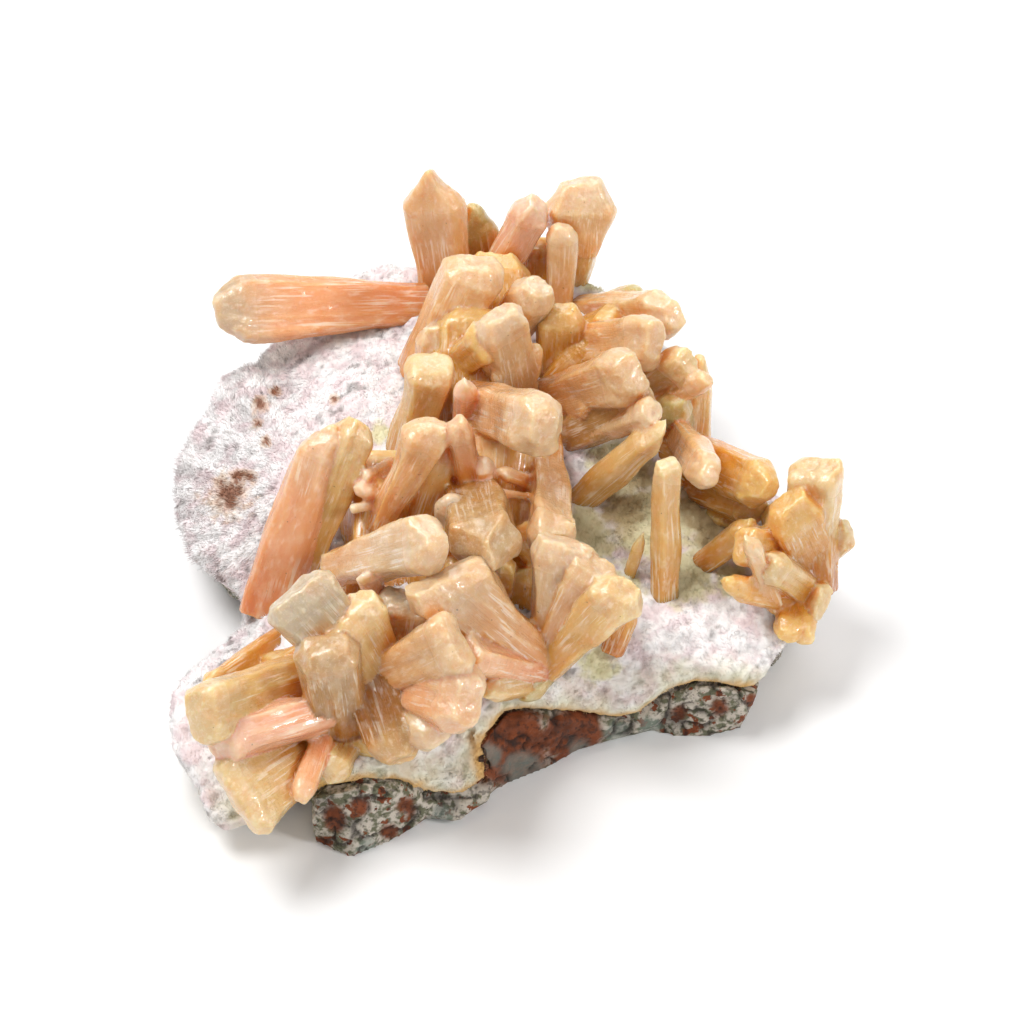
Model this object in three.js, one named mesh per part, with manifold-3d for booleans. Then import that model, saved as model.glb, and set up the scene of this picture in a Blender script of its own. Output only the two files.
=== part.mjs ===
// Stilbite with mordenite: a hand-sized mineral specimen.
// A slab of weathered basalt, broken flat underneath, carries a furry white crust of mordenite.
// Peach-coloured stilbite stands on the crust in blades, sheaves and bow-tie fans that have grown
// into one another. Millimetres, +Z up, the flat underside on z = 0, the front towards -Y.

import * as THREE from 'three';
import { ConvexGeometry } from 'three/addons/geometries/ConvexGeometry.js';
import { mergeVertices } from 'three/addons/utils/BufferGeometryUtils.js';
import Module from 'manifold-3d';

const wasm = await Module();
wasm.setup();

// Driving dimensions

const VIEW_ELEVATION = 50; // degrees above the table from which the specimen shows its best face
const EYE_DISTANCE = 600; // from the eye to the middle of the specimen
const VIEW_CENTRE = new THREE.Vector3(0, 0, 18);

const RING_POINTS = 52; // points round each outline of the slab and the crust
const BASALT_TOP = 8; // height of the hidden top of the basalt, away from its edges
const CRUST_TOP = 14.5; // height of the mordenite, away from its edges
const RIDGE_RISE = 3; // how much higher the mordenite is under the main cluster
const RIDGE = { x: -6, y: -2, across: 13, along: 22 };
const SEAT_GAP = 0.35; // clearance between the basalt and the crust
const CLEARANCE = 0.7; // clearance between the crust and the crystals
const SUNK = 1.2; // how far the crust's blank reaches into the basalt before it is cut
const ROCK_ROUGHNESS = 0.55;
const CRUST_ROUGHNESS = 0.4;
const SMALL = 4.7; // crystals narrower than this have plain square sides
const MERGE_DISTANCE = 1e-4; // corners closer than this are one corner

// Places are read on the front view: millimetres to the right of its middle, millimetres up from
// its middle, and the height above the table. seen() turns such a place into a point.

const ELEVATION = THREE.MathUtils.degToRad(VIEW_ELEVATION);
const RIGHT = new THREE.Vector3(1, 0, 0);
const UP = new THREE.Vector3(0, Math.sin(ELEVATION), Math.cos(ELEVATION));
const TO_EYE = new THREE.Vector3(0, -Math.cos(ELEVATION), Math.sin(ELEVATION));
const EYE = VIEW_CENTRE.clone().addScaledVector(TO_EYE, EYE_DISTANCE);

function seen([right, up, height]) {
  const place = VIEW_CENTRE.clone().addScaledVector(RIGHT, right).addScaledVector(UP, up);
  const ray = place.sub(EYE);
  return EYE.clone().addScaledVector(ray, (height - EYE.z) / ray.z);
}

// The outline of the specimen, anticlockwise from above. rim is the crust's widest line, seam is
// where it meets the basalt, and foot is the basalt's edge on the table. Where only the rim is
// given, the crust curls over the edge and hides the rest: toe is then how far inside the foot lies.

const OUTLINE = [
  { rim: [-24.9, -33.2, 10], seam: [-24.8, -35.8, 8.5], foot: [-24.9, -41.6, 0] },
  { rim: [-20, -32.5, 11.5], seam: [-19.4, -34.7, 9.6], foot: [-19.6, -43, 0] },
  { rim: [-14.6, -32.5, 10.5], seam: [-14.4, -35, 8.2], foot: [-14.25, -41, 0] },
  { rim: [-10.25, -34.1, 7.5], seam: [-10, -36.4, 4], foot: [-10.25, -38.4, 0] },
  { rim: [-6.25, -34.5, 6], seam: [-5.25, -36.6, 2.5], foot: [-6.1, -38.4, 0] },
  { rim: [-3.2, -31.6, 7], seam: [-1.8, -33, 4], foot: [-3, -36, 0] },
  { rim: [-5.5, -27.2, 12], seam: [-4.4, -28.8, 10], foot: [-1.5, -35, 0] },
  { rim: [0.6, -23.4, 12], seam: [0.4, -25.2, 10], foot: [1.6, -33.5, 0] },
  { rim: [5, -23.9, 11], seam: [4.75, -26.2, 8.5], foot: [6, -31.75, 0] },
  { rim: [9.5, -24, 8.5], seam: [9.75, -26.2, 5.5], foot: [10, -29.5, 0] },
  { rim: [13.75, -24.8, 7], seam: [14.5, -27, 3.2], foot: [15, -28.2, 0] },
  { rim: [17.25, -23, 8], seam: [17.9, -25, 4.6], foot: [18.75, -27.4, 0] },
  { rim: [22.25, -20, 10.5], seam: [22.6, -22, 8.2], foot: [22.5, -28.6, 0] },
  { rim: [26.25, -20.3, 10.5], seam: [26, -22.4, 8.2], foot: [26.25, -28, 0] },
  { rim: [30.8, -21.2, 9.5], seam: [30.4, -22.6, 8.2], foot: [29.75, -25.4, 0] },
  { rim: [32.5, -18.5, 10] },
  { rim: [35, -15.4, 10] },
  { rim: [38.4, -9.75, 10] },
  { rim: [37.6, -2.25, 11] },
  { rim: [31.6, 3.6, 12] },
  { rim: [23.5, 9.8, 12] },
  { rim: [21.2, 17.5, 12] },
  { rim: [16, 25.6, 13] },
  { rim: [9.1, 28.9, 13] },
  { rim: [-1.5, 29.2, 13] },
  { rim: [-10.25, 30.4, 13] },
  { rim: [-15.9, 30.8, 13] },
  { rim: [-19.6, 29.8, 12] },
  { rim: [-25.25, 25.5, 11] },
  { rim: [-30.25, 20.6, 10.5] },
  { rim: [-32.75, 18.3, 10] },
  { rim: [-37.1, 16.5, 10] },
  { rim: [-38.6, 10.9, 9.5] },
  { rim: [-41.6, 9, 9] },
  { rim: [-42.2, 2.75, 9] },
  { rim: [-41.2, -3.6, 9], toe: 7 },
  { rim: [-39, -7.2, 9.5], toe: 9 },
  { rim: [-36.4, -8.8, 9.5], toe: 10 },
  { rim: [-33.8, -10.2, 9], toe: 8 },
  { rim: [-33.9, -14, 9], toe: 5 },
  { rim: [-35.6, -16.3, 9] },
  { rim: [-39.5, -19, 9] },
  { rim: [-42.6, -22.2, 8.5] },
  { rim: [-43, -26, 8.5] },
  { rim: [-42.4, -29.9, 8] },
  { rim: [-40, -33.8, 7], toe: 6 },
  { rim: [-38.6, -38.3, 5.5], toe: 8 },
  { rim: [-36.6, -40.2, 4.5], toe: 9 },
  { rim: [-33, -39.2, 4.5], toe: 9 },
  { rim: [-28, -35, 8], toe: 6 },
];
const MIDDLE = new THREE.Vector3(-1, -1, 0); // what the rings of the slab and the crust close on
const TOE = 4.5; // how far the hidden foot lies inside the rim, where nothing else is said
const TUCK = 0.5; // how much of that the hidden seam lies inside the rim
const HIDDEN_SEAM = 3.6; // height of the hidden seam

// The crystals, a cluster at a time. A crystal runs from foot to tip. wide and narrow are its
// widths near the tip and at the foot, thick is its thickness, and roll turns it about its length.
// The last point millimetres taper to apex times the width, and slant sets one corner of the end
// ahead of the other.

const SHAPE = { roll: 0, apex: 0.6, point: 2, slant: 0, core: false };

const CLUSTERS = {
  stilbite_left_blade: [
    {
      foot: [-10.5, 24.3, 14], tip: [-37.4, 25.2, 20], wide: 8.2, narrow: 6, thick: 4,
      roll: 8, apex: 0.25, point: 3.8,
    },
  ],
  stilbite_cluster: [
    // the grown-together mass the crystals stand in
    { foot: [-3, -18, 13], tip: [-0.5, 12, 27], wide: 13, narrow: 14, thick: 9, roll: 5, core: true },
    { foot: [-4, 5, 12], tip: [-3, 12, 25], wide: 12, narrow: 12, thick: 12, core: true },
    { foot: [-15, -18, 14], tip: [-14, 7, 24], wide: 14, narrow: 14, thick: 8, core: true },
    { foot: [-5, 6, 15], tip: [-4, 25, 25], wide: 12, narrow: 12, thick: 9, roll: -5, core: true },
    { foot: [-3, 18, 14], tip: [-2, 32, 22], wide: 10, narrow: 10, thick: 7, core: true },
    { foot: [2, 24, 11], tip: [2, 34, 18], wide: 10, narrow: 10, thick: 5, apex: 0.8, core: true },
    { foot: [-20, -21, 11], tip: [-15, -30, 12], wide: 10, narrow: 10, thick: 7, core: true },
    { foot: [-16, -17, 12], tip: [-30, -24, 13], wide: 11, narrow: 12, thick: 6, core: true },
    { foot: [4, 10, 11], tip: [16, 22, 22], wide: 11, narrow: 9, thick: 6, roll: -10, core: true },
    { foot: [15, 9, 12], tip: [30, 0, 15], wide: 9, narrow: 9, thick: 5, core: true },
    { foot: [7, 21, 12], tip: [14, 24.5, 20], wide: 5, narrow: 5, thick: 6, core: true },
    { foot: [37, -10, 9], tip: [35, 2, 19], wide: 9, narrow: 7, thick: 6, core: true },
    // blades and blocks along the top edge
    {
      foot: [-8, 26.5, 12], tip: [-10.4, 42.8, 30], wide: 8.8, narrow: 7, thick: 4,
      roll: -25, apex: 0.15, point: 5,
    },
    {
      foot: [-2.75, 26.5, 10], tip: [-5.2, 38.6, 24], wide: 6.6, narrow: 5, thick: 2,
      roll: 10, apex: 0.2, point: 5,
    },
    {
      foot: [-4, 26.5, 12], tip: [3.4, 38.7, 28], wide: 5.5, narrow: 4.5, thick: 4,
      roll: 30, apex: 0.5, point: 2.5,
    },
    {
      foot: [7.2, 27.5, 12], tip: [8.2, 36, 21.5], wide: 6.4, narrow: 4.5, thick: 4.5,
      roll: 10, apex: 0.8,
    },
    {
      foot: [8, 32.5, 18], tip: [8.5, 41.6, 27], wide: 10, narrow: 5.5, thick: 5.5,
      roll: 10, apex: 0.6, point: 4,
    },
    { foot: [6, 25.25, 13.5], tip: [6.4, 35.75, 25], wide: 4, narrow: 3.4, thick: 3, point: 1.5 },
    { foot: [2.25, 26.5, 11], tip: [2.9, 33.4, 19], wide: 4.5, narrow: 4, thick: 3 },
    // upper middle
    {
      foot: [-10.9, 17.1, 15], tip: [-4.25, 31.25, 31], wide: 8.8, narrow: 8, thick: 6.5,
      roll: 8, apex: 0.7,
    },
    { foot: [-9, 12, 14], tip: [-9.8, 23.5, 26], wide: 5.5, narrow: 5.5, thick: 5 },
    {
      foot: [-1.5, 20.25, 16], tip: [3.25, 28.4, 29], wide: 6.5, narrow: 5, thick: 5,
      roll: -20, point: 2.5,
    },
    { foot: [1, 12.75, 16], tip: [-1.75, 25, 34], wide: 7.5, narrow: 5.5, thick: 5, roll: 25, apex: 0.7 },
    {
      foot: [-9, 16.5, 16], tip: [-2.75, 21.75, 31], wide: 5.5, narrow: 4.5, thick: 4,
      apex: 0.8, point: 1,
    },
    { foot: [-2.75, 14, 15], tip: [-5.25, 19.25, 24], wide: 4.5, narrow: 4, thick: 3 },
    // left of the middle
    {
      foot: [-13.5, 6, 14], tip: [-10, 18.6, 30], wide: 5.8, narrow: 5.5, thick: 6,
      roll: 15, apex: 0.75, point: 1.5,
    },
    {
      foot: [-16.75, -2.25, 16], tip: [-10, 11.1, 34], wide: 5.6, narrow: 3.5, thick: 4.5,
      roll: 20, apex: 0.55,
    },
    { foot: [-13.4, 5, 20], tip: [-19.4, 2.5, 26], wide: 3.2, narrow: 2, thick: 2 },
    { foot: [-15.9, 0.9, 20], tip: [-20.25, 0.25, 24], wide: 1.2, narrow: 1, thick: 1, point: 0.6 },
    {
      foot: [-31, -13.5, 11], tip: [-23.2, 10.4, 30], wide: 5.8, narrow: 7.2, thick: 5,
      roll: -10, slant: 1.6, apex: 0.5,
    },
    { foot: [-27.75, -11, 11.5], tip: [-19, 11.6, 31], wide: 5.4, narrow: 4.5, thick: 5, roll: 25 },
    {
      foot: [-22.75, -7.2, 20], tip: [-9, -3.6, 37], wide: 7.8, narrow: 5, thick: 5,
      roll: -15, apex: 0.35, point: 3,
    },
    // the middle
    {
      foot: [-5.25, 13.4, 22], tip: [4.2, 10.5, 38.5], wide: 8.2, narrow: 6.4, thick: 6,
      roll: 10, point: 2.5,
    },
    {
      foot: [-6.25, 9.6, 20], tip: [-5.6, 16.4, 34], wide: 3.5, narrow: 3, thick: 3,
      apex: 0.5, point: 1.5,
    },
    { foot: [-4.6, 0.9, 20], tip: [-7, 11.6, 35], wide: 3.8, narrow: 3, thick: 3.5 },
    { foot: [-3.1, 0.9, 20], tip: [-3.5, 6.4, 29], wide: 2.6, narrow: 2.4, thick: 2.5, point: 1 },
    { foot: [2.25, 2.1, 24], tip: [-2.75, 2.9, 28], wide: 1.2, narrow: 1, thick: 1, point: 0.6 },
    { foot: [2.5, 3.1, 22], tip: [-1.1, 4.9, 27], wide: 2, narrow: 2, thick: 2, point: 1 },
    {
      foot: [4.1, 9, 18], tip: [5.1, -3.9, 26], wide: 5.8, narrow: 5, thick: 5,
      roll: -20, apex: 0.7, point: 1.5,
    },
    {
      foot: [-5.25, 4, 20], tip: [-2.75, -5.6, 33], wide: 8.6, narrow: 6, thick: 6,
      apex: 0.3, point: 3.5,
    },
    { foot: [-4.6, -3.5, 20], tip: [-8.25, 0.9, 29], wide: 4.5, narrow: 4, thick: 3 },
    { foot: [-1.25, -12, 17], tip: [-0.5, -6, 28], wide: 2.9, narrow: 2.2, thick: 2.2, point: 1 },
    {
      foot: [3.9, -6.4, 17], tip: [0.5, -2.5, 25], wide: 3.6, narrow: 3, thick: 2.5,
      apex: 0.85, point: 0.6,
    },
    { foot: [-7.9, -6.25, 19], tip: [-8.1, -2, 26], wide: 1.5, narrow: 1.4, thick: 1.2, point: 0.6 },
    { foot: [-16, -13, 18], tip: [-18, -7.6, 29], wide: 3.6, narrow: 3, thick: 1.5, point: 0.8 },
    // the bow tie low in the middle
    {
      foot: [4.1, -19.1, 14], tip: [-9.4, -8.1, 33], wide: 9.8, narrow: 4, thick: 5,
      point: 2.5, slant: -2.2,
    },
    { foot: [4.1, -19.5, 13], tip: [6.9, -3.5, 31], wide: 7.5, narrow: 4, thick: 5, apex: 0.7 },
    { foot: [4.1, -19.5, 13], tip: [10.6, -6.25, 30], wide: 6, narrow: 4, thick: 5, apex: 0.7 },
    { foot: [4.1, -19.75, 13], tip: [14.1, -9.5, 30], wide: 6.5, narrow: 4, thick: 5, apex: 0.5 },
    { foot: [7.25, -16.25, 12], tip: [0.75, -22.5, 14], wide: 5, narrow: 4, thick: 3 },
    {
      foot: [4.1, -20, 13], tip: [-6, -17.5, 25], wide: 5.5, narrow: 4, thick: 4,
      roll: 55, apex: 0.9, point: 0.6,
    },
    { foot: [3.75, -21.25, 12], tip: [-3.25, -22.25, 19], wide: 3.5, narrow: 3, thick: 3 },
    // the sheaves at the lower left
    { foot: [-15.5, -23, 15], tip: [-27.5, -9.5, 33], wide: 9, narrow: 6, thick: 5, apex: 0.7 },
    {
      foot: [-14.5, -22.5, 16], tip: [-20.5, -12, 30], wide: 8.5, narrow: 6.5, thick: 5,
      roll: 12, apex: 0.8,
    },
    {
      foot: [-14, -20, 15], tip: [-12.5, -10.5, 26], wide: 9, narrow: 8, thick: 5,
      apex: 0.8, point: 1.2,
    },
    {
      foot: [-19, -16, 22], tip: [-13.75, -31.25, 15], wide: 8, narrow: 6.5, thick: 5,
      roll: 10, apex: 0.5, point: 2.5,
    },
    { foot: [-17.1, -21, 18], tip: [-6.5, -16, 31], wide: 7, narrow: 5, thick: 5, apex: 0.8, point: 1.2 },
    { foot: [-14, -21, 17], tip: [-5.25, -23.75, 26], wide: 8.5, narrow: 6, thick: 6, point: 2.5 },
    { foot: [-13.4, -22.25, 16], tip: [-9.25, -28.1, 20], wide: 6, narrow: 5, thick: 5 },
    {
      foot: [-22.75, -20, 14], tip: [-39.6, -25.6, 24], wide: 8, narrow: 7.5, thick: 5,
      roll: -15, apex: 0.85, point: 1.2,
    },
    { foot: [-21.25, -27.9, 13], tip: [-23.4, -16.4, 29], wide: 8, narrow: 6, thick: 5 },
    { foot: [-20.25, -23.8, 17], tip: [-37.6, -29.1, 19.5], wide: 6, narrow: 5, thick: 5 },
    {
      foot: [-22.5, -28, 11], tip: [-34.6, -36.2, 15], wide: 9.5, narrow: 5, thick: 4,
      apex: 0.8, point: 1.5,
    },
    { foot: [-23.75, -28.25, 15], tip: [-26.5, -36.25, 14], wide: 3, narrow: 3, thick: 2 },
    { foot: [-20, -27.5, 12], tip: [-23.4, -33, 13], wide: 5, narrow: 4.5, thick: 3.5 },
    { foot: [-25.9, -14.1, 12], tip: [-38.75, -22.6, 17], wide: 4, narrow: 3.5, thick: 3 },
    // upper right
    { foot: [5.4, 14, 12], tip: [6.25, 25.5, 25], wide: 6.5, narrow: 5.5, thick: 4 },
    { foot: [11, 25.25, 12], tip: [20.2, 24.3, 24], wide: 5, narrow: 4, thick: 4.5, point: 2.5 },
    { foot: [9.5, 25, 11], tip: [16.4, 27.1, 20], wide: 4, narrow: 3.5, thick: 3.5 },
    { foot: [7.25, 20.9, 15], tip: [18.1, 21.25, 30], wide: 5.5, narrow: 5, thick: 4.5, apex: 0.7 },
    { foot: [4.1, 14, 16], tip: [15.1, 17.25, 33], wide: 5.8, narrow: 5, thick: 5 },
    { foot: [5.75, 9, 14], tip: [17, 13.75, 28], wide: 6, narrow: 5, thick: 5 },
    { foot: [7.9, 9, 15], tip: [17.6, 12.6, 30], wide: 3.5, narrow: 3, thick: 4, apex: 0.8, point: 1 },
    { foot: [14.75, 14, 14], tip: [22.4, 18.9, 27], wide: 4.8, narrow: 4, thick: 4 },
    { foot: [15.4, 12.1, 14], tip: [24.5, 16.9, 26], wide: 3.4, narrow: 3, thick: 3 },
    {
      foot: [22.8, 7.1, 11], tip: [23.6, 19.6, 23], wide: 4, narrow: 4.4, thick: 3.6,
      roll: 20, apex: 0.3, point: 5,
    },
    { foot: [19.75, 7.75, 11], tip: [20.5, 14.4, 22], wide: 5, narrow: 5, thick: 4 },
    { foot: [20, 10.5, 15], tip: [24.75, 4.75, 29], wide: 4.6, narrow: 4, thick: 4 },
    {
      foot: [22.25, 7.75, 16], tip: [32.5, 2.5, 26], wide: 7, narrow: 5.5, thick: 5,
      roll: -15, point: 2.5,
    },
    { foot: [21.6, 2.75, 13], tip: [31, -0.1, 19], wide: 4.5, narrow: 4, thick: 4 },
    // the pointed prism right of the middle
    {
      foot: [7.25, 0.6, 14], tip: [19.25, 10.75, 30], wide: 4.4, narrow: 3.6, thick: 3.8,
      roll: 35, apex: 0.1, point: 3.5,
    },
    // the bunch at the right edge
    { foot: [22.5, -7.5, 12], tip: [30.25, -1.75, 22], wide: 3.8, narrow: 3.4, thick: 3, apex: 0.5 },
    {
      foot: [37.25, -7.9, 10], tip: [37.7, 5.7, 28], wide: 7.2, narrow: 6, thick: 5,
      roll: -15, apex: 0.9, point: 0.8,
    },
    { foot: [38.7, -7.2, 12], tip: [34.5, 1.25, 26], wide: 6, narrow: 4.6, thick: 5, apex: 0.7 },
    { foot: [37.9, -6.25, 10], tip: [42.3, -1.9, 18], wide: 4.5, narrow: 3.5, thick: 3, apex: 0.5 },
    { foot: [37.5, -3.5, 14], tip: [28.75, -5, 22], wide: 4.5, narrow: 5, thick: 4, apex: 0.8, point: 1 },
    { foot: [33, -12, 13], tip: [29.4, -3, 27], wide: 2.8, narrow: 2.4, thick: 2.4, apex: 0.35 },
    {
      foot: [36.25, -11, 12], tip: [26.6, -9.1, 20], wide: 3.8, narrow: 4, thick: 2.5,
      apex: 0.5, point: 3,
    },
    { foot: [34.1, -9.5, 12], tip: [37, -16.1, 12], wide: 4, narrow: 3, thick: 3, apex: 0.5 },
    {
      foot: [35.4, -9.75, 10], tip: [39, -11.5, 14], wide: 5.5, narrow: 4.5, thick: 3,
      apex: 0.8, point: 1,
    },
    { foot: [37, -10, 12], tip: [32, -6.5, 22], wide: 4.5, narrow: 4, thick: 3.5 },
    { foot: [36, -10.75, 11], tip: [34.25, -15.75, 13], wide: 4.5, narrow: 4, thick: 3 },
  ],
  stilbite_long_prism: [
    {
      foot: [19.25, -11, 13], tip: [19.4, 6.6, 32], wide: 4, narrow: 3.6, thick: 3.6,
      roll: 20, point: 1,
    },
  ],
  stilbite_needle: [
    {
      foot: [14.1, -9.5, 13], tip: [16.6, -2.1, 22], wide: 1.9, narrow: 1.6, thick: 1.6,
      apex: 0.2, point: 3,
    },
  ],
  stilbite_low_blade: [
    { foot: [12.4, -17.6, 12.5], tip: [14.9, -11.2, 18], wide: 3.4, narrow: 3, thick: 3, apex: 0.35 },
  ],
};

// Solids

function solidOf(geometry) {
  geometry.deleteAttribute('normal');
  geometry.deleteAttribute('uv');
  const merged = mergeVertices(geometry, MERGE_DISTANCE);
  return new wasm.Manifold(new wasm.Mesh({
    numProp: 3,
    vertProperties: new Float32Array(merged.attributes.position.array),
    triVerts: new Uint32Array(merged.index.array),
  }));
}

// Rings of equal length, each anticlockwise seen from the last one, joined side to side, with the
// ends closed on a point each.
function skin(rings, start, end) {
  const n = rings[0].length;
  const points = [...rings.flat(), start, end];
  const last = (rings.length - 1) * n;
  const faces = [];
  for (let i = 0; i < n; i++) {
    const j = (i + 1) % n;
    for (let low = 0; low < last; low += n) {
      faces.push(low + i, low + j, low + n + j, low + i, low + n + j, low + n + i);
    }
    faces.push(points.length - 2, j, i, points.length - 1, last + i, last + j);
  }
  const geometry = new THREE.BufferGeometry().setFromPoints(points);
  geometry.setIndex(faces);
  return solidOf(geometry);
}

// The crumbs that a cut leaves are dropped.
function largest(solid) {
  return solid.decompose().reduce((a, b) => (b.volume() > a.volume() ? b : a));
}

// The same uneven value from -1 to 1 for the same place in a grid.
function uneven(i, j) {
  const wave = Math.sin(i * 127.1 + j * 311.7) * 43758.5453;
  return (wave - Math.floor(wave)) * 2 - 1;
}

function ringThrough(points) {
  const curve = new THREE.CatmullRomCurve3(points, true, 'centripetal');
  return Array.from({ length: RING_POINTS }, (_, i) => curve.getPoint(i / RING_POINTS));
}

function towardsMiddle(point, distance) {
  const inward = MIDDLE.clone().sub(point).setZ(0).normalize();
  return point.clone().addScaledVector(inward, distance);
}

// A ring moved outwards, square to itself.
function spread(ring, distance) {
  const n = ring.length;
  return ring.map((p, i) => {
    const side = ring[(i + 1) % n].clone().sub(ring[(i + n - 1) % n]).setZ(0).normalize();
    return new THREE.Vector3(p.x + side.y * distance, p.y - side.x * distance, p.z);
  });
}

function shrunk(ring, share, heightAt) {
  return ring.map((p, i) => {
    const q = MIDDLE.clone().lerp(p, share);
    return q.setZ(heightAt(q, p, i));
  });
}

function hidden({ rim: place, toe = TOE }, share, height) {
  return towardsMiddle(seen(place), toe * share).setZ(height);
}

const rim = ringThrough(OUTLINE.map((o) => seen(o.rim)));
const seams = OUTLINE.map((o) => (o.seam ? seen(o.seam) : hidden(o, TUCK, HIDDEN_SEAM)));
const seam = ringThrough(seams);
const feet = OUTLINE.map((o) => (o.foot ? seen(o.foot) : hidden(o, 1, 0)));
const foot = ringThrough(feet).map((p) => p.setZ(0));

// Basalt

const SEAT_SHARES = [0.86, 0.5]; // the hidden top's rings, as shares of the seam
const SEAT_SLOPE = 0.3; // share of the way in over which the hidden top levels out
const FLAT_SHARE = 0.55; // the underside's inner ring, as a share of the foot
const WALL_BULGE = 0.4; // how far the broken wall swells halfway up
const WALL_ROUGHNESS = 0.9; // unevenness halfway up the wall
const EDGE_INSET = 0.1; // how far the edge on the table lies inside the foot

function seatRing(share) {
  const level = THREE.MathUtils.smoothstep(1 - share, 0, SEAT_SLOPE);
  return shrunk(seam, share, (q, p) => THREE.MathUtils.lerp(p.z, BASALT_TOP, level));
}

// grow moves the sides outwards, for the shape that seats the crust.
function basalt(grow) {
  const wall = foot.map((p, i) => {
    const half = p.clone().lerp(seam[i], 0.5);
    return towardsMiddle(half, WALL_ROUGHNESS * uneven(i, 3) - WALL_BULGE);
  });
  const edge = foot.map((p, i) => towardsMiddle(p, EDGE_INSET + ROCK_ROUGHNESS * uneven(i, 1)));
  const sides = [edge, wall, seam].map((ring) => spread(ring, grow));
  const rings = [shrunk(foot, FLAT_SHARE, () => 0), ...sides, ...SEAT_SHARES.map(seatRing)];
  return skin(rings, MIDDLE.clone(), MIDDLE.clone().setZ(BASALT_TOP));
}

// Mordenite crust

const WAVE = 0.7; // height of the short swells on the crust
const LONG_WAVE = 0.5; // height of the long ones

function crustHeight(x, y) {
  const across = (x - RIDGE.x) / RIDGE.across;
  const along = (y - RIDGE.y) / RIDGE.along;
  const ridge = RIDGE_RISE * Math.exp(-(across * across + along * along) / 2);
  const short = WAVE * Math.sin(x * 0.31 + 1.3) * Math.cos(y * 0.27);
  const long = LONG_WAVE * Math.sin(x * 0.12 - y * 0.2);
  return CRUST_TOP + short + long + ridge;
}

const CRUST_SHARES = [0.95, 0.87, 0.76, 0.6, 0.42, 0.2]; // the upper rings, as shares of the rim
const SHOULDER = { from: 0.02, to: 0.34 }; // share of the way in over which the crust levels out
const BROW_INSET = 1.2; // how far the brow lies inside the rim
const BROW_RISE = 1; // how far it lies above the rim
const BROW_ROUGHNESS = 0.25;
const BULGE_INSET = 0.1; // how far the widest line lies inside the rim
const UNDER_SHARE = 0.7; // the blank's lowest ring, as a share of the seam
const UNDER_HEIGHT = 5; // height of that ring
const BED_SHARE = 0.5; // the same ring of the bed below the crystals
const BED_HEIGHT = -2;

// grow moves the whole upper surface outwards and up, for the shape that trims the crystals.
function crust(grow, underside) {
  const brow = rim.map((p, i) => {
    const q = towardsMiddle(p, BROW_INSET + BROW_ROUGHNESS * uneven(i, 11));
    return q.setZ(p.z + BROW_RISE + grow);
  });
  const tops = CRUST_SHARES.map((share, k) => shrunk(rim, share, (q, p, i) => {
    const level = THREE.MathUtils.smoothstep(1 - share, SHOULDER.from, SHOULDER.to);
    const height = THREE.MathUtils.lerp(p.z + BROW_RISE, crustHeight(q.x, q.y), level);
    return height + CRUST_ROUGHNESS * uneven(i, k + 20) + grow;
  }));
  const bulge = rim.map((p, i) => towardsMiddle(p, BULGE_INSET + CRUST_ROUGHNESS * uneven(i, 7)));
  const top = MIDDLE.clone().setZ(crustHeight(MIDDLE.x, MIDDLE.y) + grow);
  const bottom = MIDDLE.clone().setZ(underside[0][0].z);
  return skin([...underside, spread(bulge, grow), spread(brow, grow), ...tops], bottom, top);
}

function mordenite() {
  const sunk = seam.map((p) => towardsMiddle(p, SUNK).setZ(p.z - SUNK));
  const blank = crust(0, [shrunk(seam, UNDER_SHARE, () => UNDER_HEIGHT), sunk]);
  const wider = basalt(SEAT_GAP);
  const rock = basalt(0).add(wider).add(wider.translate(0, 0, SEAT_GAP));
  return largest(blank.subtract(rock));
}

// The crust and everything below it, a clearance larger: what the crystals are trimmed to.
function bed() {
  const outer = spread(seam, CLEARANCE).map((p) => p.setZ(BED_HEIGHT));
  return crust(CLEARANCE, [shrunk(outer, BED_SHARE, () => BED_HEIGHT), outer]);
}

// Crystals

const BEVEL = 0.35; // share of the thinner half-width taken off each corner of a bar
const LOW_EDGE = 0.15; // how far back the edge down each side lies, as a share of the half-thickness
const FOOT_THICKNESS = 0.75; // shares of the crystal's thickness at its foot and its tip
const TIP_THICKNESS = 0.6;
const SHOULDER_SLANT = 0.8; // share of the slant at the shoulder of the point

// The corners of a flat bar: x runs across it and y through it, away from the viewer. A small one
// has four corners; a larger one has six, with a low edge down each side.
function barSection(width, thick, height, slant, small) {
  const a = width / 2;
  const b = thick / 2;
  const c = a - Math.min(a, b) * BEVEL;
  const edge = b * LOW_EDGE;
  const four = [[a, -b], [a, b], [-a, b], [-a, -b]];
  const six = [[c, -b], [a, edge], [c, b], [-c, b], [-a, edge], [-c, -b]];
  return (small ? four : six).map(([x, y]) => new THREE.Vector3(x, y, height + slant * (x / a)));
}

function crystal(entry) {
  const c = { ...SHAPE, ...entry };
  const start = seen(c.foot);
  const along = seen(c.tip).sub(start);
  const length = along.length();
  along.normalize();
  const towards = EYE.clone().sub(start);
  const back = along.clone().multiplyScalar(towards.dot(along)).sub(towards).normalize();
  back.applyAxisAngle(along, THREE.MathUtils.degToRad(c.roll));
  const across = back.clone().cross(along);
  const frame = new THREE.Matrix4().makeBasis(across, back, along).setPosition(start);
  const small = c.core || c.wide < SMALL;
  const shoulder = length - c.point;
  const rings = [
    barSection(c.narrow, c.thick * FOOT_THICKNESS, 0, 0, small),
    barSection(c.wide, c.thick, shoulder, c.slant * SHOULDER_SLANT, small),
    barSection(c.wide * c.apex, c.thick * TIP_THICKNESS, length, c.slant * c.apex, small),
  ];
  return solidOf(new ConvexGeometry(rings.flat().map((p) => p.applyMatrix4(frame))));
}

function cluster(entries, cutter) {
  const grown = entries.map(crystal).reduce((whole, one) => whole.add(one));
  return largest(grown.subtract(cutter));
}

// Materials, and the group of meshes

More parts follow.
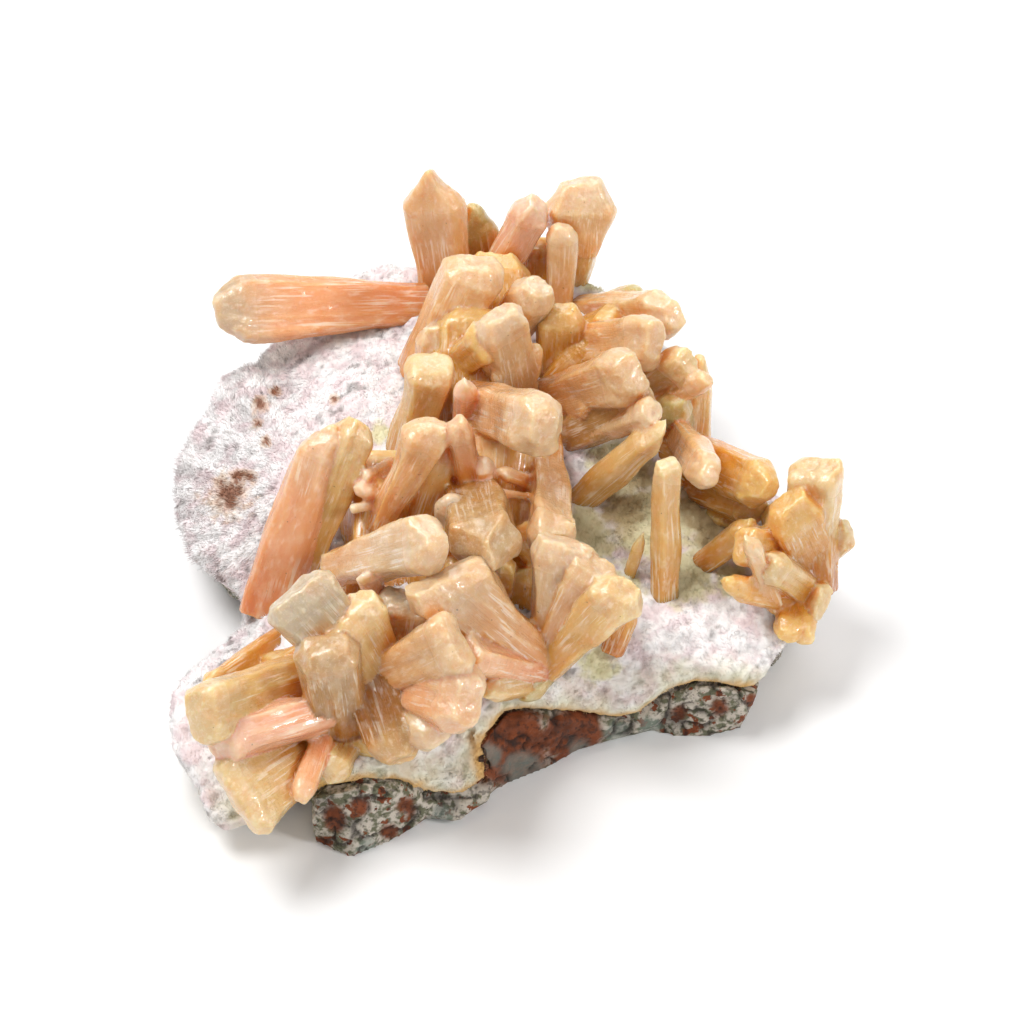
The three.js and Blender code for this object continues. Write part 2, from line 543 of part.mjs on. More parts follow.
const LOOKS = {
  basalt: { color: 0x5d4a42, roughness: 0.85, metalness: 0 },
  mordenite: { color: 0xe9e6e4, roughness: 0.95, metalness: 0 },
  stilbite: { color: 0xdca678, roughness: 0.35, metalness: 0 },
};

function meshOf(name, solid, look) {
  const { vertProperties, triVerts, numProp } = solid.getMesh();
  const geometry = new THREE.BufferGeometry();
  const positions = new THREE.InterleavedBuffer(vertProperties, numProp);
  geometry.setAttribute('position', new THREE.InterleavedBufferAttribute(positions, 3, 0));
  geometry.setIndex(new THREE.BufferAttribute(triVerts, 1));
  geometry.computeVertexNormals();
  const mesh = new THREE.Mesh(geometry, new THREE.MeshStandardMaterial({ ...LOOKS[look], flatShading: true }));
  mesh.name = name;
  return mesh;
}

const specimen = new THREE.Group();
specimen.name = 'stilbite_with_mordenite';
specimen.add(meshOf('basalt_matrix', basalt(0), 'basalt'));
specimen.add(meshOf('mordenite_crust', mordenite(), 'mordenite'));
const trimmed = bed();
for (const [name, entries] of Object.entries(CLUSTERS)) {
  specimen.add(meshOf(name, cluster(entries, trimmed), 'stilbite'));
}

export default specimen;
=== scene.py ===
"""Stilbite with mordenite, dressed for display.

A slab of weathered basalt carries a felt of white mordenite needles, and peach-coloured stilbite
stands on it in blades, prisms, sheaves and a bow tie. Lengths in the tables are millimetres.
"""

from __future__ import annotations

import logging
import math
from dataclasses import dataclass, replace
from enum import Enum

import bpy
import numpy as np
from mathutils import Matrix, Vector
from mathutils.bvhtree import BVHTree


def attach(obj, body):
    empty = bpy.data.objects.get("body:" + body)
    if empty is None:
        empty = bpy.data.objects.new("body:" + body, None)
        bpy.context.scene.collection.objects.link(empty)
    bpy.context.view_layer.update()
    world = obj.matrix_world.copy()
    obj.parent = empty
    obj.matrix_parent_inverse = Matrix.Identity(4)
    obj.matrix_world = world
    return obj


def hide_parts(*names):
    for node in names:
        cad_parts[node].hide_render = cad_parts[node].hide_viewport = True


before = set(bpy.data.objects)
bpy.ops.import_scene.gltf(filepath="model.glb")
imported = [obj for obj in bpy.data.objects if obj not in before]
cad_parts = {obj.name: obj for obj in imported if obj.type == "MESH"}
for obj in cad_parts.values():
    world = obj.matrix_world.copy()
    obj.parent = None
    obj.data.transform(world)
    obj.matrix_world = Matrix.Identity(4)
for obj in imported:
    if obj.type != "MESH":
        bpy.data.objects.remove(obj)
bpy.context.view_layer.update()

log = logging.getLogger("specimen")

MM = 0.001
SEED = 20
BODY = "root"

Place = tuple[float, float, float]
Tone = tuple[int, int, int]
Array = np.ndarray


# The view

@dataclass(frozen=True)
class View:
    """The view that shows the specimen's best face, and the places that are read on it."""

    elevation: float = 50.0
    distance: float = 600.0
    centre: Place = (0.0, 0.0, 18.0)
    reach: float = 128.0
    sensor: float = 36.0

    @property
    def up(self) -> Array:
        """The direction that is up in the view."""
        angle = math.radians(self.elevation)
        return np.array([0.0, math.sin(angle), math.cos(angle)])

    @property
    def eye(self) -> Array:
        """The place of the eye."""
        angle = math.radians(self.elevation)
        towards = np.array([0.0, -math.cos(angle), math.sin(angle)])
        return np.array(self.centre) + towards * self.distance

    def seen(self, place: Place) -> Array:
        """Turns a place on the view into a point.

        Args:
            place: Right of the middle, up from the middle, and height above the table.

        Returns:
            The point, in millimetres.
        """
        right, up, height = place
        eye = self.eye
        ray = np.array(self.centre) + np.array([right, 0.0, 0.0]) + self.up * up - eye
        return eye + ray * ((height - eye[2]) / ray[2])

    def shown(self, points: Array) -> Array:
        """Gives where points appear on the view.

        Args:
            points: Points in millimetres, one a row.

        Returns:
            Right of the middle and up from the middle, one point a row.
        """
        angle = math.radians(self.elevation)
        inwards = np.array([0.0, math.cos(angle), -math.sin(angle)])
        ray = points - self.eye
        scale = self.distance / (ray @ inwards)
        return np.stack([ray[:, 0] * scale, (ray @ self.up) * scale], axis=1)


VIEW = View()


# Helpers

class Noise:
    """Smooth noise in three dimensions, the same at each run."""

    strides: tuple[int, int, int] = (73856093, 19349663, 83492791)
    salt_stride: int = 2654435761
    scramble: int = 1274126177

    @classmethod
    def _corner(cls, cell: Array, salt: int) -> Array:
        """Gives a value from 0 to 1 for each whole-number cell.

        Args:
            cell: The cells, one a row.
            salt: Picks one of many patterns.

        Returns:
            One value a cell.
        """
        x, y, z = (cell[:, axis] * stride for axis, stride in enumerate(cls.strides))
        mixed = x ^ y ^ z ^ salt * cls.salt_stride
        mixed = (mixed ^ (mixed >> 13)) * cls.scramble & 0xFFFFFFFF
        return ((mixed ^ (mixed >> 16)) & 0xFFFF) / 65535.0

    @classmethod
    def at(cls, points: Array, size: float, salt: int = 0) -> Array:
        """Gives noise from -1 to 1.

        Args:
            points: Points, one a row.
            size: Size of the noise's features.
            salt: Picks one of many patterns.

        Returns:
            One value a point.
        """
        scaled = points / size
        cell = np.floor(scaled).astype(np.int64)
        part = scaled - cell
        part = part * part * (3 - 2 * part)
        total = np.zeros(len(points))
        for corner in np.ndindex(2, 2, 2):
            step = np.array(corner)
            weight = np.prod(np.where(step == 1, part, 1 - part), axis=1)
            total += weight * cls._corner(cell + step, salt)
        return total * 2 - 1

    @classmethod
    def layered(cls, points: Array, size: float, layers: int, salt: int = 0) -> Array:
        """Gives several sizes of noise added up, from about -1 to 1.

        Args:
            points: Points, one a row.
            size: Size of the largest features. Those of each further layer are half as large.
            layers: How many layers there are.
            salt: Picks one of many patterns.

        Returns:
            One value a point.
        """
        total = np.zeros(len(points))
        for layer in range(layers):
            total += cls.at(points, size / 2 ** layer, salt + layer) / 2 ** layer
        return total / (2 - 0.5 ** (layers - 1))


def smooth(low: float, high: float, value: Array) -> Array:
    """Eases from 0 at low to 1 at high."""
    t = np.clip((value - low) / (high - low), 0, 1)
    return t * t * (3 - 2 * t)


def unit(vectors: Array) -> Array:
    """Gives vectors a length of one."""
    return vectors / np.maximum(np.linalg.norm(vectors, axis=-1, keepdims=True), 1e-12)


def linear(color: Tone) -> Array:
    """Turns a colour given in 0 to 255 into linear light."""
    c = np.array(color) / 255.0
    return np.where(c <= 0.04045, c / 12.92, ((c + 0.055) / 1.055) ** 2.4)


def deselect() -> None:
    """Leaves edit mode and deselects everything."""
    if bpy.context.object and bpy.context.object.mode != "OBJECT":
        bpy.ops.object.mode_set(mode="OBJECT")
    bpy.ops.object.select_all(action="DESELECT")


def activate(piece: bpy.types.Object) -> None:
    """Selects one piece only and makes it the active one.

    Args:
        piece: The piece.
    """
    deselect()
    piece.select_set(True)
    bpy.context.view_layer.objects.active = piece


def read(items: bpy.types.bpy_prop_collection, name: str, width: int = 1,
         kind: type = float) -> Array:
    """Reads one property of all of a mesh's vertices, corners or faces.

    Args:
        items: The vertices, corners, faces or stored values.
        name: The property.
        width: How many numbers it has.
        kind: The type of the numbers.

    Returns:
        One number an item, or one row an item where it has several.
    """
    flat = np.empty(len(items) * width, dtype=kind)
    items.foreach_get(name, flat)
    return flat.reshape(-1, width) if width > 1 else flat


def points_of(mesh: bpy.types.Mesh) -> Array:
    """Gives a mesh's vertices, in its own units."""
    return read(mesh.vertices, "co", 3)


def normals_of(mesh: bpy.types.Mesh) -> Array:
    """Gives the normals at a mesh's vertices."""
    return read(mesh.vertices, "normal", 3)


def surface_of(mesh: bpy.types.Mesh, unit_length: float = 1.0) -> BVHTree:
    """Gives a mesh's surface to search, in units of the length given."""
    corners = [Vector(point) for point in points_of(mesh) / unit_length]
    return BVHTree.FromPolygons(corners, [tuple(face.vertices) for face in mesh.polygons])


def move_points(mesh: bpy.types.Mesh, points: Array) -> None:
    """Puts a mesh's vertices at the points given."""
    mesh.vertices.foreach_set("co", points.ravel())
    mesh.update()


def keep(mesh: bpy.types.Mesh, name: str, values: Array, corners: bool = False) -> None:
    """Stores a number, a vector or a colour on a mesh.

    Args:
        mesh: The mesh.
        name: What the material calls it.
        values: One a vertex, or one a face's corner.
        corners: Whether they are the corners' values, which outlast a join.
    """
    kinds = {1: ("FLOAT", "value"), 3: ("FLOAT_VECTOR", "vector"), 4: ("FLOAT_COLOR", "color")}
    width = 1 if values.ndim == 1 else values.shape[1]
    kind, prop = kinds[width]
    layer = mesh.attributes.new(name, kind, "CORNER" if corners else "POINT")
    layer.data.foreach_set(prop, values.astype(np.float32).ravel())


def apply_modifier(piece: bpy.types.Object, kind: str, **settings: object) -> None:
    """Adds a modifier to a piece, sets it and applies it.

    Args:
        piece: The piece.
        kind: The modifier's type.
        settings: The modifier's own properties.
    """
    activate(piece)
    bpy.ops.object.modifier_add(type=kind)
    modifier = piece.modifiers[-1]
    for key, value in settings.items():
        setattr(modifier, key, value)
    bpy.ops.object.modifier_apply(modifier=modifier.name)


def reskin(piece: bpy.types.Object, cell: float) -> None:
    """Gives a piece an even skin, whose faces are about cell millimetres wide."""
    apply_modifier(piece, "REMESH", mode="VOXEL", voxel_size=cell * MM, use_smooth_shade=True)


def merged_copy(node: str, name: str) -> bpy.types.Object:
    """Copies a solid of the frame, with its loose corners merged.

    Args:
        node: The solid's name in the frame.
        name: The copy's name.

    Returns:
        The copy, at the origin.
    """
    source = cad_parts[node]
    piece = bpy.data.objects.new(name, source.data.copy())
    bpy.context.scene.collection.objects.link(piece)
    piece.data.materials.clear()
    activate(piece)
    bpy.ops.object.mode_set(mode="EDIT")
    bpy.ops.mesh.select_all(action="SELECT")
    bpy.ops.mesh.remove_doubles(threshold=1e-6)
    bpy.ops.object.mode_set(mode="OBJECT")
    return piece


def finish_piece(piece: bpy.types.Object, nodes: tuple[str, ...],
                 material: bpy.types.Material) -> None:
    """Dresses a piece and hands it to the frame.

    Args:
        piece: The piece.
        nodes: The solids that it replaces.
        material: Its finish.
    """
    piece.data.materials.clear()
    piece.data.materials.append(material)
    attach(piece, BODY)
    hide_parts(*nodes)
    triangles = sum(len(p.vertices) - 2 for p in piece.data.polygons)
    log.info("%s: %d triangles", piece.name, triangles)


# Materials

@dataclass(frozen=True)
class Pattern:
    """Soft patches: how dense they are, and the noise at which they start and are full.

    detail is how broken up they are, stretch multiplies the coordinates that they follow, and
    strength is how much they do to the colour.
    """

    scale: float
    low: float
    high: float
    detail: float = 2.0
    stretch: Place = (1.0, 1.0, 1.0)
    strength: float = 1.0


class Wiring:
    """A node tree being wired up."""

    def __init__(self, tree: bpy.types.NodeTree) -> None:
        """Keeps the tree and clears it."""
        self.tree = tree
        tree.nodes.clear()

    def add(self, kind: str, inputs: dict[str | int, object] | None = None,
            **settings: object) -> bpy.types.Node:
        """Adds a node.

        Args:
            kind: The node's type.
            inputs: Sockets by name or number, each with a value or with a socket to link.
            settings: The node's own properties.

        Returns:
            The node.
        """
        node = self.tree.nodes.new(kind)
        for key, value in settings.items():
            setattr(node, key, value)
        for key, value in (inputs or {}).items():
            if isinstance(value, bpy.types.NodeSocket):
                self.tree.links.new(value, node.inputs[key])
            else:
                node.inputs[key].default_value = value
        return node

    def mix(self, share: object, a: object, b: object) -> bpy.types.NodeSocket:
        """Mixes two colours, and gives the socket of the result."""
        return self.add("ShaderNodeMix", {0: share, 6: a, 7: b}, data_type="RGBA").outputs[2]

    def math(self, operation: str, a: object, b: object) -> bpy.types.NodeSocket:
        """Does a sum on two numbers, and gives the socket of the result."""
        return self.add("ShaderNodeMath", {0: a, 1: b}, operation=operation).outputs[0]

    def times(self, a: object, b: object) -> bpy.types.NodeSocket:
        """Multiplies two numbers, and gives the socket of the result."""
        return self.math("MULTIPLY", a, b)

    def scaled(self, vector: object, scale: Place) -> bpy.types.NodeSocket:
        """Multiplies a vector by another, and gives the socket of the result."""
        return self.add("ShaderNodeVectorMath", {0: vector, 1: scale}, operation="MULTIPLY").outputs[0]

    def attribute(self, name: str, output: str) -> bpy.types.NodeSocket:
        """Reads what is stored on the piece."""
        return self.add("ShaderNodeAttribute", attribute_name=name).outputs[output]

    def ramp(self, value: object, low: float, high: float, start: float = 0.0,
             end: float = 1.0) -> bpy.types.NodeSocket:
        """Eases a value from one range into another."""
        inputs = {0: value, 1: low, 2: high, 3: start, 4: end}
        return self.add("ShaderNodeMapRange", inputs, interpolation_type="SMOOTHSTEP").outputs[0]

    def noise(self, vector: object, scale: object, detail: object) -> bpy.types.NodeSocket:
        """Adds noise that follows a vector, and gives its socket."""
        inputs = {"Vector": vector, "Scale": scale, "Detail": detail}
        return self.add("ShaderNodeTexNoise", inputs).outputs[0]

    def bump(self, height: object, strength: float, rise: float) -> bpy.types.NodeSocket:
        """Adds relief of rise millimetres, and gives the socket of the normal."""
        inputs = {"Strength": strength, "Distance": rise * MM, "Height": height}
        return self.add("ShaderNodeBump", inputs).outputs[0]

    def surface(self, inputs: dict[str | int, object]) -> None:
        """Adds the material's shader, with the inputs given, and its output."""
        shader = self.add("ShaderNodeBsdfPrincipled", inputs)
        self.add("ShaderNodeOutputMaterial", {"Surface": shader.outputs[0]})


def rgba(color: Tone) -> tuple[float, float, float, float]:
    """Turns a colour given in 0 to 255 into a socket's value."""
    return (*(float(c) for c in linear(color)), 1.0)


class Mottle:
    """Soft patches that every finish uses, as one shader node group."""

    def __init__(self) -> None:
        """Builds the group."""
        self.group = bpy.data.node_groups.new("mottle", "ShaderNodeTree")
        wires = Wiring(self.group)
        sockets = self.group.interface
        sockets.new_socket("Vector", in_out="INPUT", socket_type="NodeSocketVector")
        for name, value in (("Scale", 5.0), ("Detail", 2.0), ("Low", 0.4), ("High", 0.6)):
            socket = sockets.new_socket(name, in_out="INPUT", socket_type="NodeSocketFloat")
            socket.default_value = value
        sockets.new_socket("Mask", in_out="OUTPUT", socket_type="NodeSocketFloat")
        start = wires.add("NodeGroupInput").outputs
        noise = wires.noise(start["Vector"], start["Scale"], start["Detail"])
        wires.add("NodeGroupOutput", {"Mask": wires.ramp(noise, start["Low"], start["High"])})

    def place(self, wires: Wiring, vector: bpy.types.NodeSocket,
              pattern: Pattern) -> bpy.types.NodeSocket:
        """Places the group in a material.

        Args:
            wires: The material's tree.
            vector: The coordinates that the patches follow.
            pattern: The patches.

        Returns:
            The socket of the patches' mask, at full strength.
        """
        if pattern.stretch != (1.0, 1.0, 1.0):
            vector = wires.scaled(vector, pattern.stretch)
        node = wires.add("ShaderNodeGroup", node_tree=self.group)
        wires.tree.links.new(vector, node.inputs["Vector"])
        for name in ("scale", "detail", "low", "high"):
            node.inputs[name.capitalize()].default_value = getattr(pattern, name)
        return node.outputs["Mask"]


def new_material(name: str) -> tuple[bpy.types.Material, Wiring]:
    """Makes a material with an empty tree.

    Args:
        name: The material's name.

    Returns:
        The material, and its tree to wire up.
    """
    material = bpy.data.materials.new(name)
    material.use_nodes = True
    return material, Wiring(material.node_tree)


@dataclass(frozen=True)
class StilbiteFinish:
    """Translucent peach crystal, pearly on its broad faces and streaked along its length, with painted
    highlights on the streaks of its sides and painted shade in its crevices.
    """

    name: str = "stilbite"
    # A deep orange for the stains and clouds, and for the painted shade in the crevices.
    stain_and_hollow_shade: Tone = (216, 138, 40)
    clear: Tone = (248, 232, 206)
    # A pale tone: the milky veils inside the crystals, and the painted highlight of the glints.
    veil_and_highlight: Tone = (255, 250, 232)
    speck: Tone = (92, 70, 44)
    clouds: Pattern = Pattern(0.3, 0.42, 0.7, strength=0.2)
    milk: Pattern = Pattern(0.7, 0.45, 0.72, 3.0, (1.0, 1.0, 0.5), 0.2)
    veil: Pattern = Pattern(1.6, 0.52, 0.72, 5.0, (1.0, 1.0, 0.4), 0.22)
    stain: Pattern = Pattern(1.1, 0.54, 0.74, 5.0, (1.0, 1.0, 0.4), 0.22)
    dust: Pattern = Pattern(1.9, 0.76, 0.8, 1.0, strength=0.5)
    glint: Pattern = Pattern(1.0, 0.54, 0.6, 3.0, (3.0, 3.0, 0.09), 0.4)
    glinting: Pattern = Pattern(0.4, 0.42, 0.6, 1.0, (1.0, 1.0, 0.5))
    sugar: Pattern = Pattern(4.4, 0.57, 0.65, strength=0.2)
    hollow_shade_share: float = 0.75
    hair: Place = (7.0, 7.0, 0.2)
    striae: float = 0.7
    crumbs: float = 0.8
    rise: float = 0.22
    roughness: tuple[float, float] = (0.2, 0.32)
    refraction: float = 1.62
    scatter: Place = (1.0, 0.74, 0.42)
    depth: float = 2.8
    sparkle: float = 0.8
    coat: tuple[float, float] = (0.3, 1.0)

    def build(self, mottle: Mottle) -> bpy.types.Material:
        """Builds the material.

        Args:
            mottle: The patches that it places.

        Returns:
            The material.
        """
        material, wires = new_material(self.name)
        grain = wires.attribute("grain", "Vector")
        head = wires.attribute("head", "Fac")
        along = wires.math("SUBTRACT", 1.0, head)
        glint = wires.times(mottle.place(wires, grain, self.glint),
                            wires.times(along, mottle.place(wires, grain, self.glinting)))
        sugar = mottle.place(wires, grain, self.sugar)
        color = wires.attribute("body", "Color")
        for mask, strength, tone in (
                (mottle.place(wires, grain, self.milk), self.milk.strength, self.clear),
                (mottle.place(wires, grain, self.clouds), self.clouds.strength, self.stain_and_hollow_shade),
                (mottle.place(wires, grain, self.veil), self.veil.strength, self.veil_and_highlight),
                (mottle.place(wires, grain, self.stain), self.stain.strength, self.stain_and_hollow_shade),
                # Painted shade: the crevices between the crystals deepen to orange.
                (wires.attribute("hollow_shade", "Fac"), self.hollow_shade_share, self.stain_and_hollow_shade),
                # Painted highlight: pale streaks of light along the crystals' sides.
                (glint, self.glint.strength, self.veil_and_highlight),
                (wires.times(sugar, head), self.sugar.strength, self.clear),
                (mottle.place(wires, grain, self.dust), self.dust.strength, self.speck)):
            color = wires.mix(wires.times(mask, strength), color, rgba(tone))
        hair = wires.noise(wires.scaled(grain, self.hair), 1.0, 3.0)
        striae = wires.times(wires.times(hair, along), self.striae)
        crumbs = wires.times(wires.noise(grain, 2.0, 4.0), self.crumbs)
        shine = wires.math("MAXIMUM", glint, wires.times(sugar, self.sparkle))
        wires.surface({
            "Base Color": color,
            "Roughness": wires.ramp(head, 0.0, 1.0, *self.roughness),
            "Normal": wires.bump(wires.math("ADD", striae, crumbs), 0.8, self.rise),
            "IOR": self.refraction,
            "Subsurface Weight": 1.0,
            "Subsurface Radius": self.scatter,
            "Subsurface Scale": self.depth * MM,
            "Coat Weight": wires.ramp(shine, 0.0, 1.0, *self.coat),
            "Coat Roughness": 0.07,
        })
        return material


@dataclass(frozen=True)
class MordeniteFinish:
    """White felted needles, stained in places, with painted shade in the pits between the tufts, in the
    fibres' grooves, in the felt's hollows and at the needles' roots.
    """

    name: str = "mordenite"
    white: Tone = (246, 243, 242)
    pink: Tone = (230, 210, 212)
    # Grey of the painted shade in the pits between the tufts, the fibres' grooves, the felt's hollows and
    # the needles' roots.
    pit_shade: Tone = (112, 102, 98)
    rust: Tone = (132, 72, 38)
    # Painted shade, tinted tan, on the crust between the crystals at the right.
    shaded_tan: Tone = (164, 142, 102)
    olive: Tone = (214, 208, 150)
    rim: Tone = (214, 158, 60)
    tinge: Pattern = Pattern(420.0, 0.4, 0.66, 4.0, strength=0.8)
    hairs: float = 2600.0
    rise: float = 0.2

    def build(self, mottle: Mottle) -> bpy.types.Material:
        """Builds the material, whose stains and painted shade are masks stored on the pieces.

        Args:
            mottle: The patches that it places.

        Returns:
            The material.
        """
        material, wires = new_material(self.name)
        place = wires.add("ShaderNodeTexCoord").outputs["Object"]
        tinge = wires.times(mottle.place(wires, place, self.tinge), self.tinge.strength)
        color = wires.mix(tinge, rgba(self.white), rgba(self.pink))
        for name in ("pit_shade", "olive", "shaded_tan", "rim", "rust"):
            color = wires.mix(wires.attribute(name, "Fac"), color, rgba(getattr(self, name)))
        wires.surface({
            "Base Color": color,
            "Roughness": 0.85,
            "Normal": wires.bump(wires.noise(place, self.hairs, 2.0), 0.5, self.rise),
            "Specular IOR Level": 0.25,
        })
        return material


@dataclass(frozen=True)
class BasaltFinish:
    """Weathered basalt: red-brown lumps, grey and green rock, blue-green vein filling."""

    name: str = "basalt"
    red: Tone = (124, 64, 34)
    brown: Tone = (92, 46, 22)
    grey: Tone = (196, 186, 172)
    green: Tone = (106, 106, 84)
    teal: Tone = (128, 144, 136)
    # Dark flecks and cracks, and painted shade in the hollows between the lumps.
    crack_fleck_and_hollow_shade: Tone = (40, 32, 28)
    lumps: Pattern = Pattern(700.0, 0.4, 0.66, 4.0)
    grains: Pattern = Pattern(1000.0, 0.42, 0.6, 5.0)
    spots: Pattern = Pattern(640.0, 0.58, 0.62, 4.0)
    flecks: Pattern = Pattern(1500.0, 0.56, 0.62, 3.0, strength=0.55)
    grit: float = 1800.0
    rise: float = 0.3
    roughness: tuple[float, float] = (0.6, 0.85)

    def build(self, mottle: Mottle) -> bpy.types.Material:
        """Builds the material, whose lumps, cracks with the painted shade of the hollows between them,
        and filling are masks stored on the slab.

        Args:
            mottle: The patches that it places.

        Returns:
            The material.
        """
        material, wires = new_material(self.name)
        place = wires.add("ShaderNodeTexCoord").outputs["Object"]
        grains = mottle.place(wires, place, self.grains)
        rusty = wires.mix(mottle.place(wires, place, self.lumps), rgba(self.red), rgba(self.brown))
        grey = wires.mix(grains, rgba(self.grey), rgba(self.green))
        grey = wires.mix(mottle.place(wires, place, self.spots), grey, rgba(self.red))
        color = wires.mix(wires.attribute("rusty", "Fac"), grey, rusty)
        flecks = wires.times(mottle.place(wires, place, self.flecks), self.flecks.strength)
        color = wires.mix(flecks, color, rgba(self.crack_fleck_and_hollow_shade))
        for name in ("teal", "crack_fleck_and_hollow_shade"):
            color = wires.mix(wires.attribute(name, "Fac"), color, rgba(getattr(self, name)))
        wires.surface({
            "Base Color": color,
            "Roughness": wires.ramp(grains, 0.0, 1.0, *self.roughness),
            "Normal": wires.bump(wires.noise(place, self.grit, 4.0), 0.7, self.rise),
            "Specular IOR Level": 0.3,
        })
        return material


# Stilbite

@dataclass(frozen=True)
class Hues:
    """A crystal's colours at its foot, along its body and at its tip. The foot's deeper colour is partly
    the crystal's own and partly painted shade where the feet stand among the other crystals.
    """

    foot: Tone
    body: Tone
    tip: Tone


class Tint(Enum):
    """The colours that the crystals grow in."""

    PEACH = Hues((208, 140, 74), (214, 168, 118), (210, 178, 138))
    SALMON = Hues((212, 134, 84), (222, 164, 120), (216, 182, 146))
    SMOKED = Hues((214, 138, 84), (222, 160, 110), (186, 164, 134))
    PALE = Hues((208, 156, 98), (212, 178, 134), (212, 186, 152))
    GREY = Hues((196, 148, 98), (190, 166, 132), (184, 168, 142))
    AMBER = Hues((182, 108, 22), (204, 148, 62), (210, 172, 104))
    YELLOW = Hues((194, 140, 56), (208, 170, 108), (208, 182, 136))
    OLIVE = Hues((150, 118, 44), (176, 154, 88), (182, 166, 110))
    PINK = Hues((214, 144, 100), (222, 170, 138), (224, 192, 166))
    TAN = Hues((172, 112, 44), (178, 140, 88), (192, 160, 118))
    HONEY = Hues((146, 80, 6), (156, 96, 20), (206, 166, 106))


@dataclass(frozen=True)
class Build:
    """How finely a crystal is divided, how strong its relief is, and the least width it suits."""

    plates: int
    layers: int
    rings: int
    relief: float
    ragged: float
    least: float

    @property
    def name(self) -> str:
        """A name for the blank."""
        return f"blank_{self.plates}_{self.layers}_{self.rings}"


class Size(Enum):
    """The three finenesses of crystal, the widest first."""

    LARGE = Build(plates=8, layers=3, rings=22, relief=0.085, ragged=0.22, least=4.7)
    MEDIUM = Build(plates=5, layers=3, rings=16, relief=0.07, ragged=0.18, least=2.5)
    SMALL = Build(plates=3, layers=2, rings=9, relief=0.04, ragged=0.1, least=0.0)


@dataclass(frozen=True)
class Crystal:
    """One crystal, from its foot to its tip. Both are places on the view.

    wide and narrow are its widths near the tip and at the foot, thick is its thickness, and roll
    turns it about its length. Its last point millimetres taper to apex times the width, slant sets
    one corner of the end ahead of the other, and fan spreads its plates.
    """

    foot: Place
    tip: Place
    wide: float
    narrow: float
    thick: float
    roll: float = 0.0
    apex: float = 0.6
    point: float = 2.0
    slant: float = 0.0
    fan: float = 0.0
    tint: Tint = Tint.PEACH

    @property
    def build(self) -> Build:
        """The fineness that suits the crystal's width."""
        return next(size.value for size in Size if self.wide >= size.value.least)


ROWS = 3  # rows of points across each plate and each layer of a blank
SPLINTERED_THICK = 4.5  # the least thickness of a crystal that has thin blades grown onto it
SPLINTER_WIDTHS = (3.5, 5.5)  # it has one more of them past each of these widths


class Blanks:
    """Boxes of cells that the crystals are drawn out of, each made once."""

    def __init__(self) -> None:
        """Starts with no blank."""
        self.made: dict[str, bpy.types.Object] = {}

    def get(self, build: Build) -> bpy.types.Object:
        """Gives the blank for a fineness, three columns to a plate and three rows to a layer.

        Args:
            build: The fineness.

        Returns:
            The blank, which is made at the first call.
        """
        if build.name not in self.made:
            deselect()
            bpy.ops.mesh.primitive_grid_add(
                x_subdivisions=ROWS * build.plates - 1, y_subdivisions=ROWS * build.layers - 1, size=2)
            blank = bpy.context.object
            blank.name = build.name
            bpy.ops.object.mode_set(mode="EDIT")
            for _ in range(build.rings):
                bpy.ops.mesh.extrude_region_move(
                    TRANSFORM_OT_translate={"value": (0, 0, 1 / build.rings)})
            bpy.ops.mesh.select_all(action="SELECT")
            bpy.ops.mesh.normals_make_consistent(inside=False)
            bpy.ops.object.mode_set(mode="OBJECT")
            self.made[build.name] = blank
        return self.made[build.name]

    def clear(self) -> None:
        """Removes the blanks."""
        for blank in self.made.values():
            bpy.data.objects.remove(blank)
        self.made.clear()


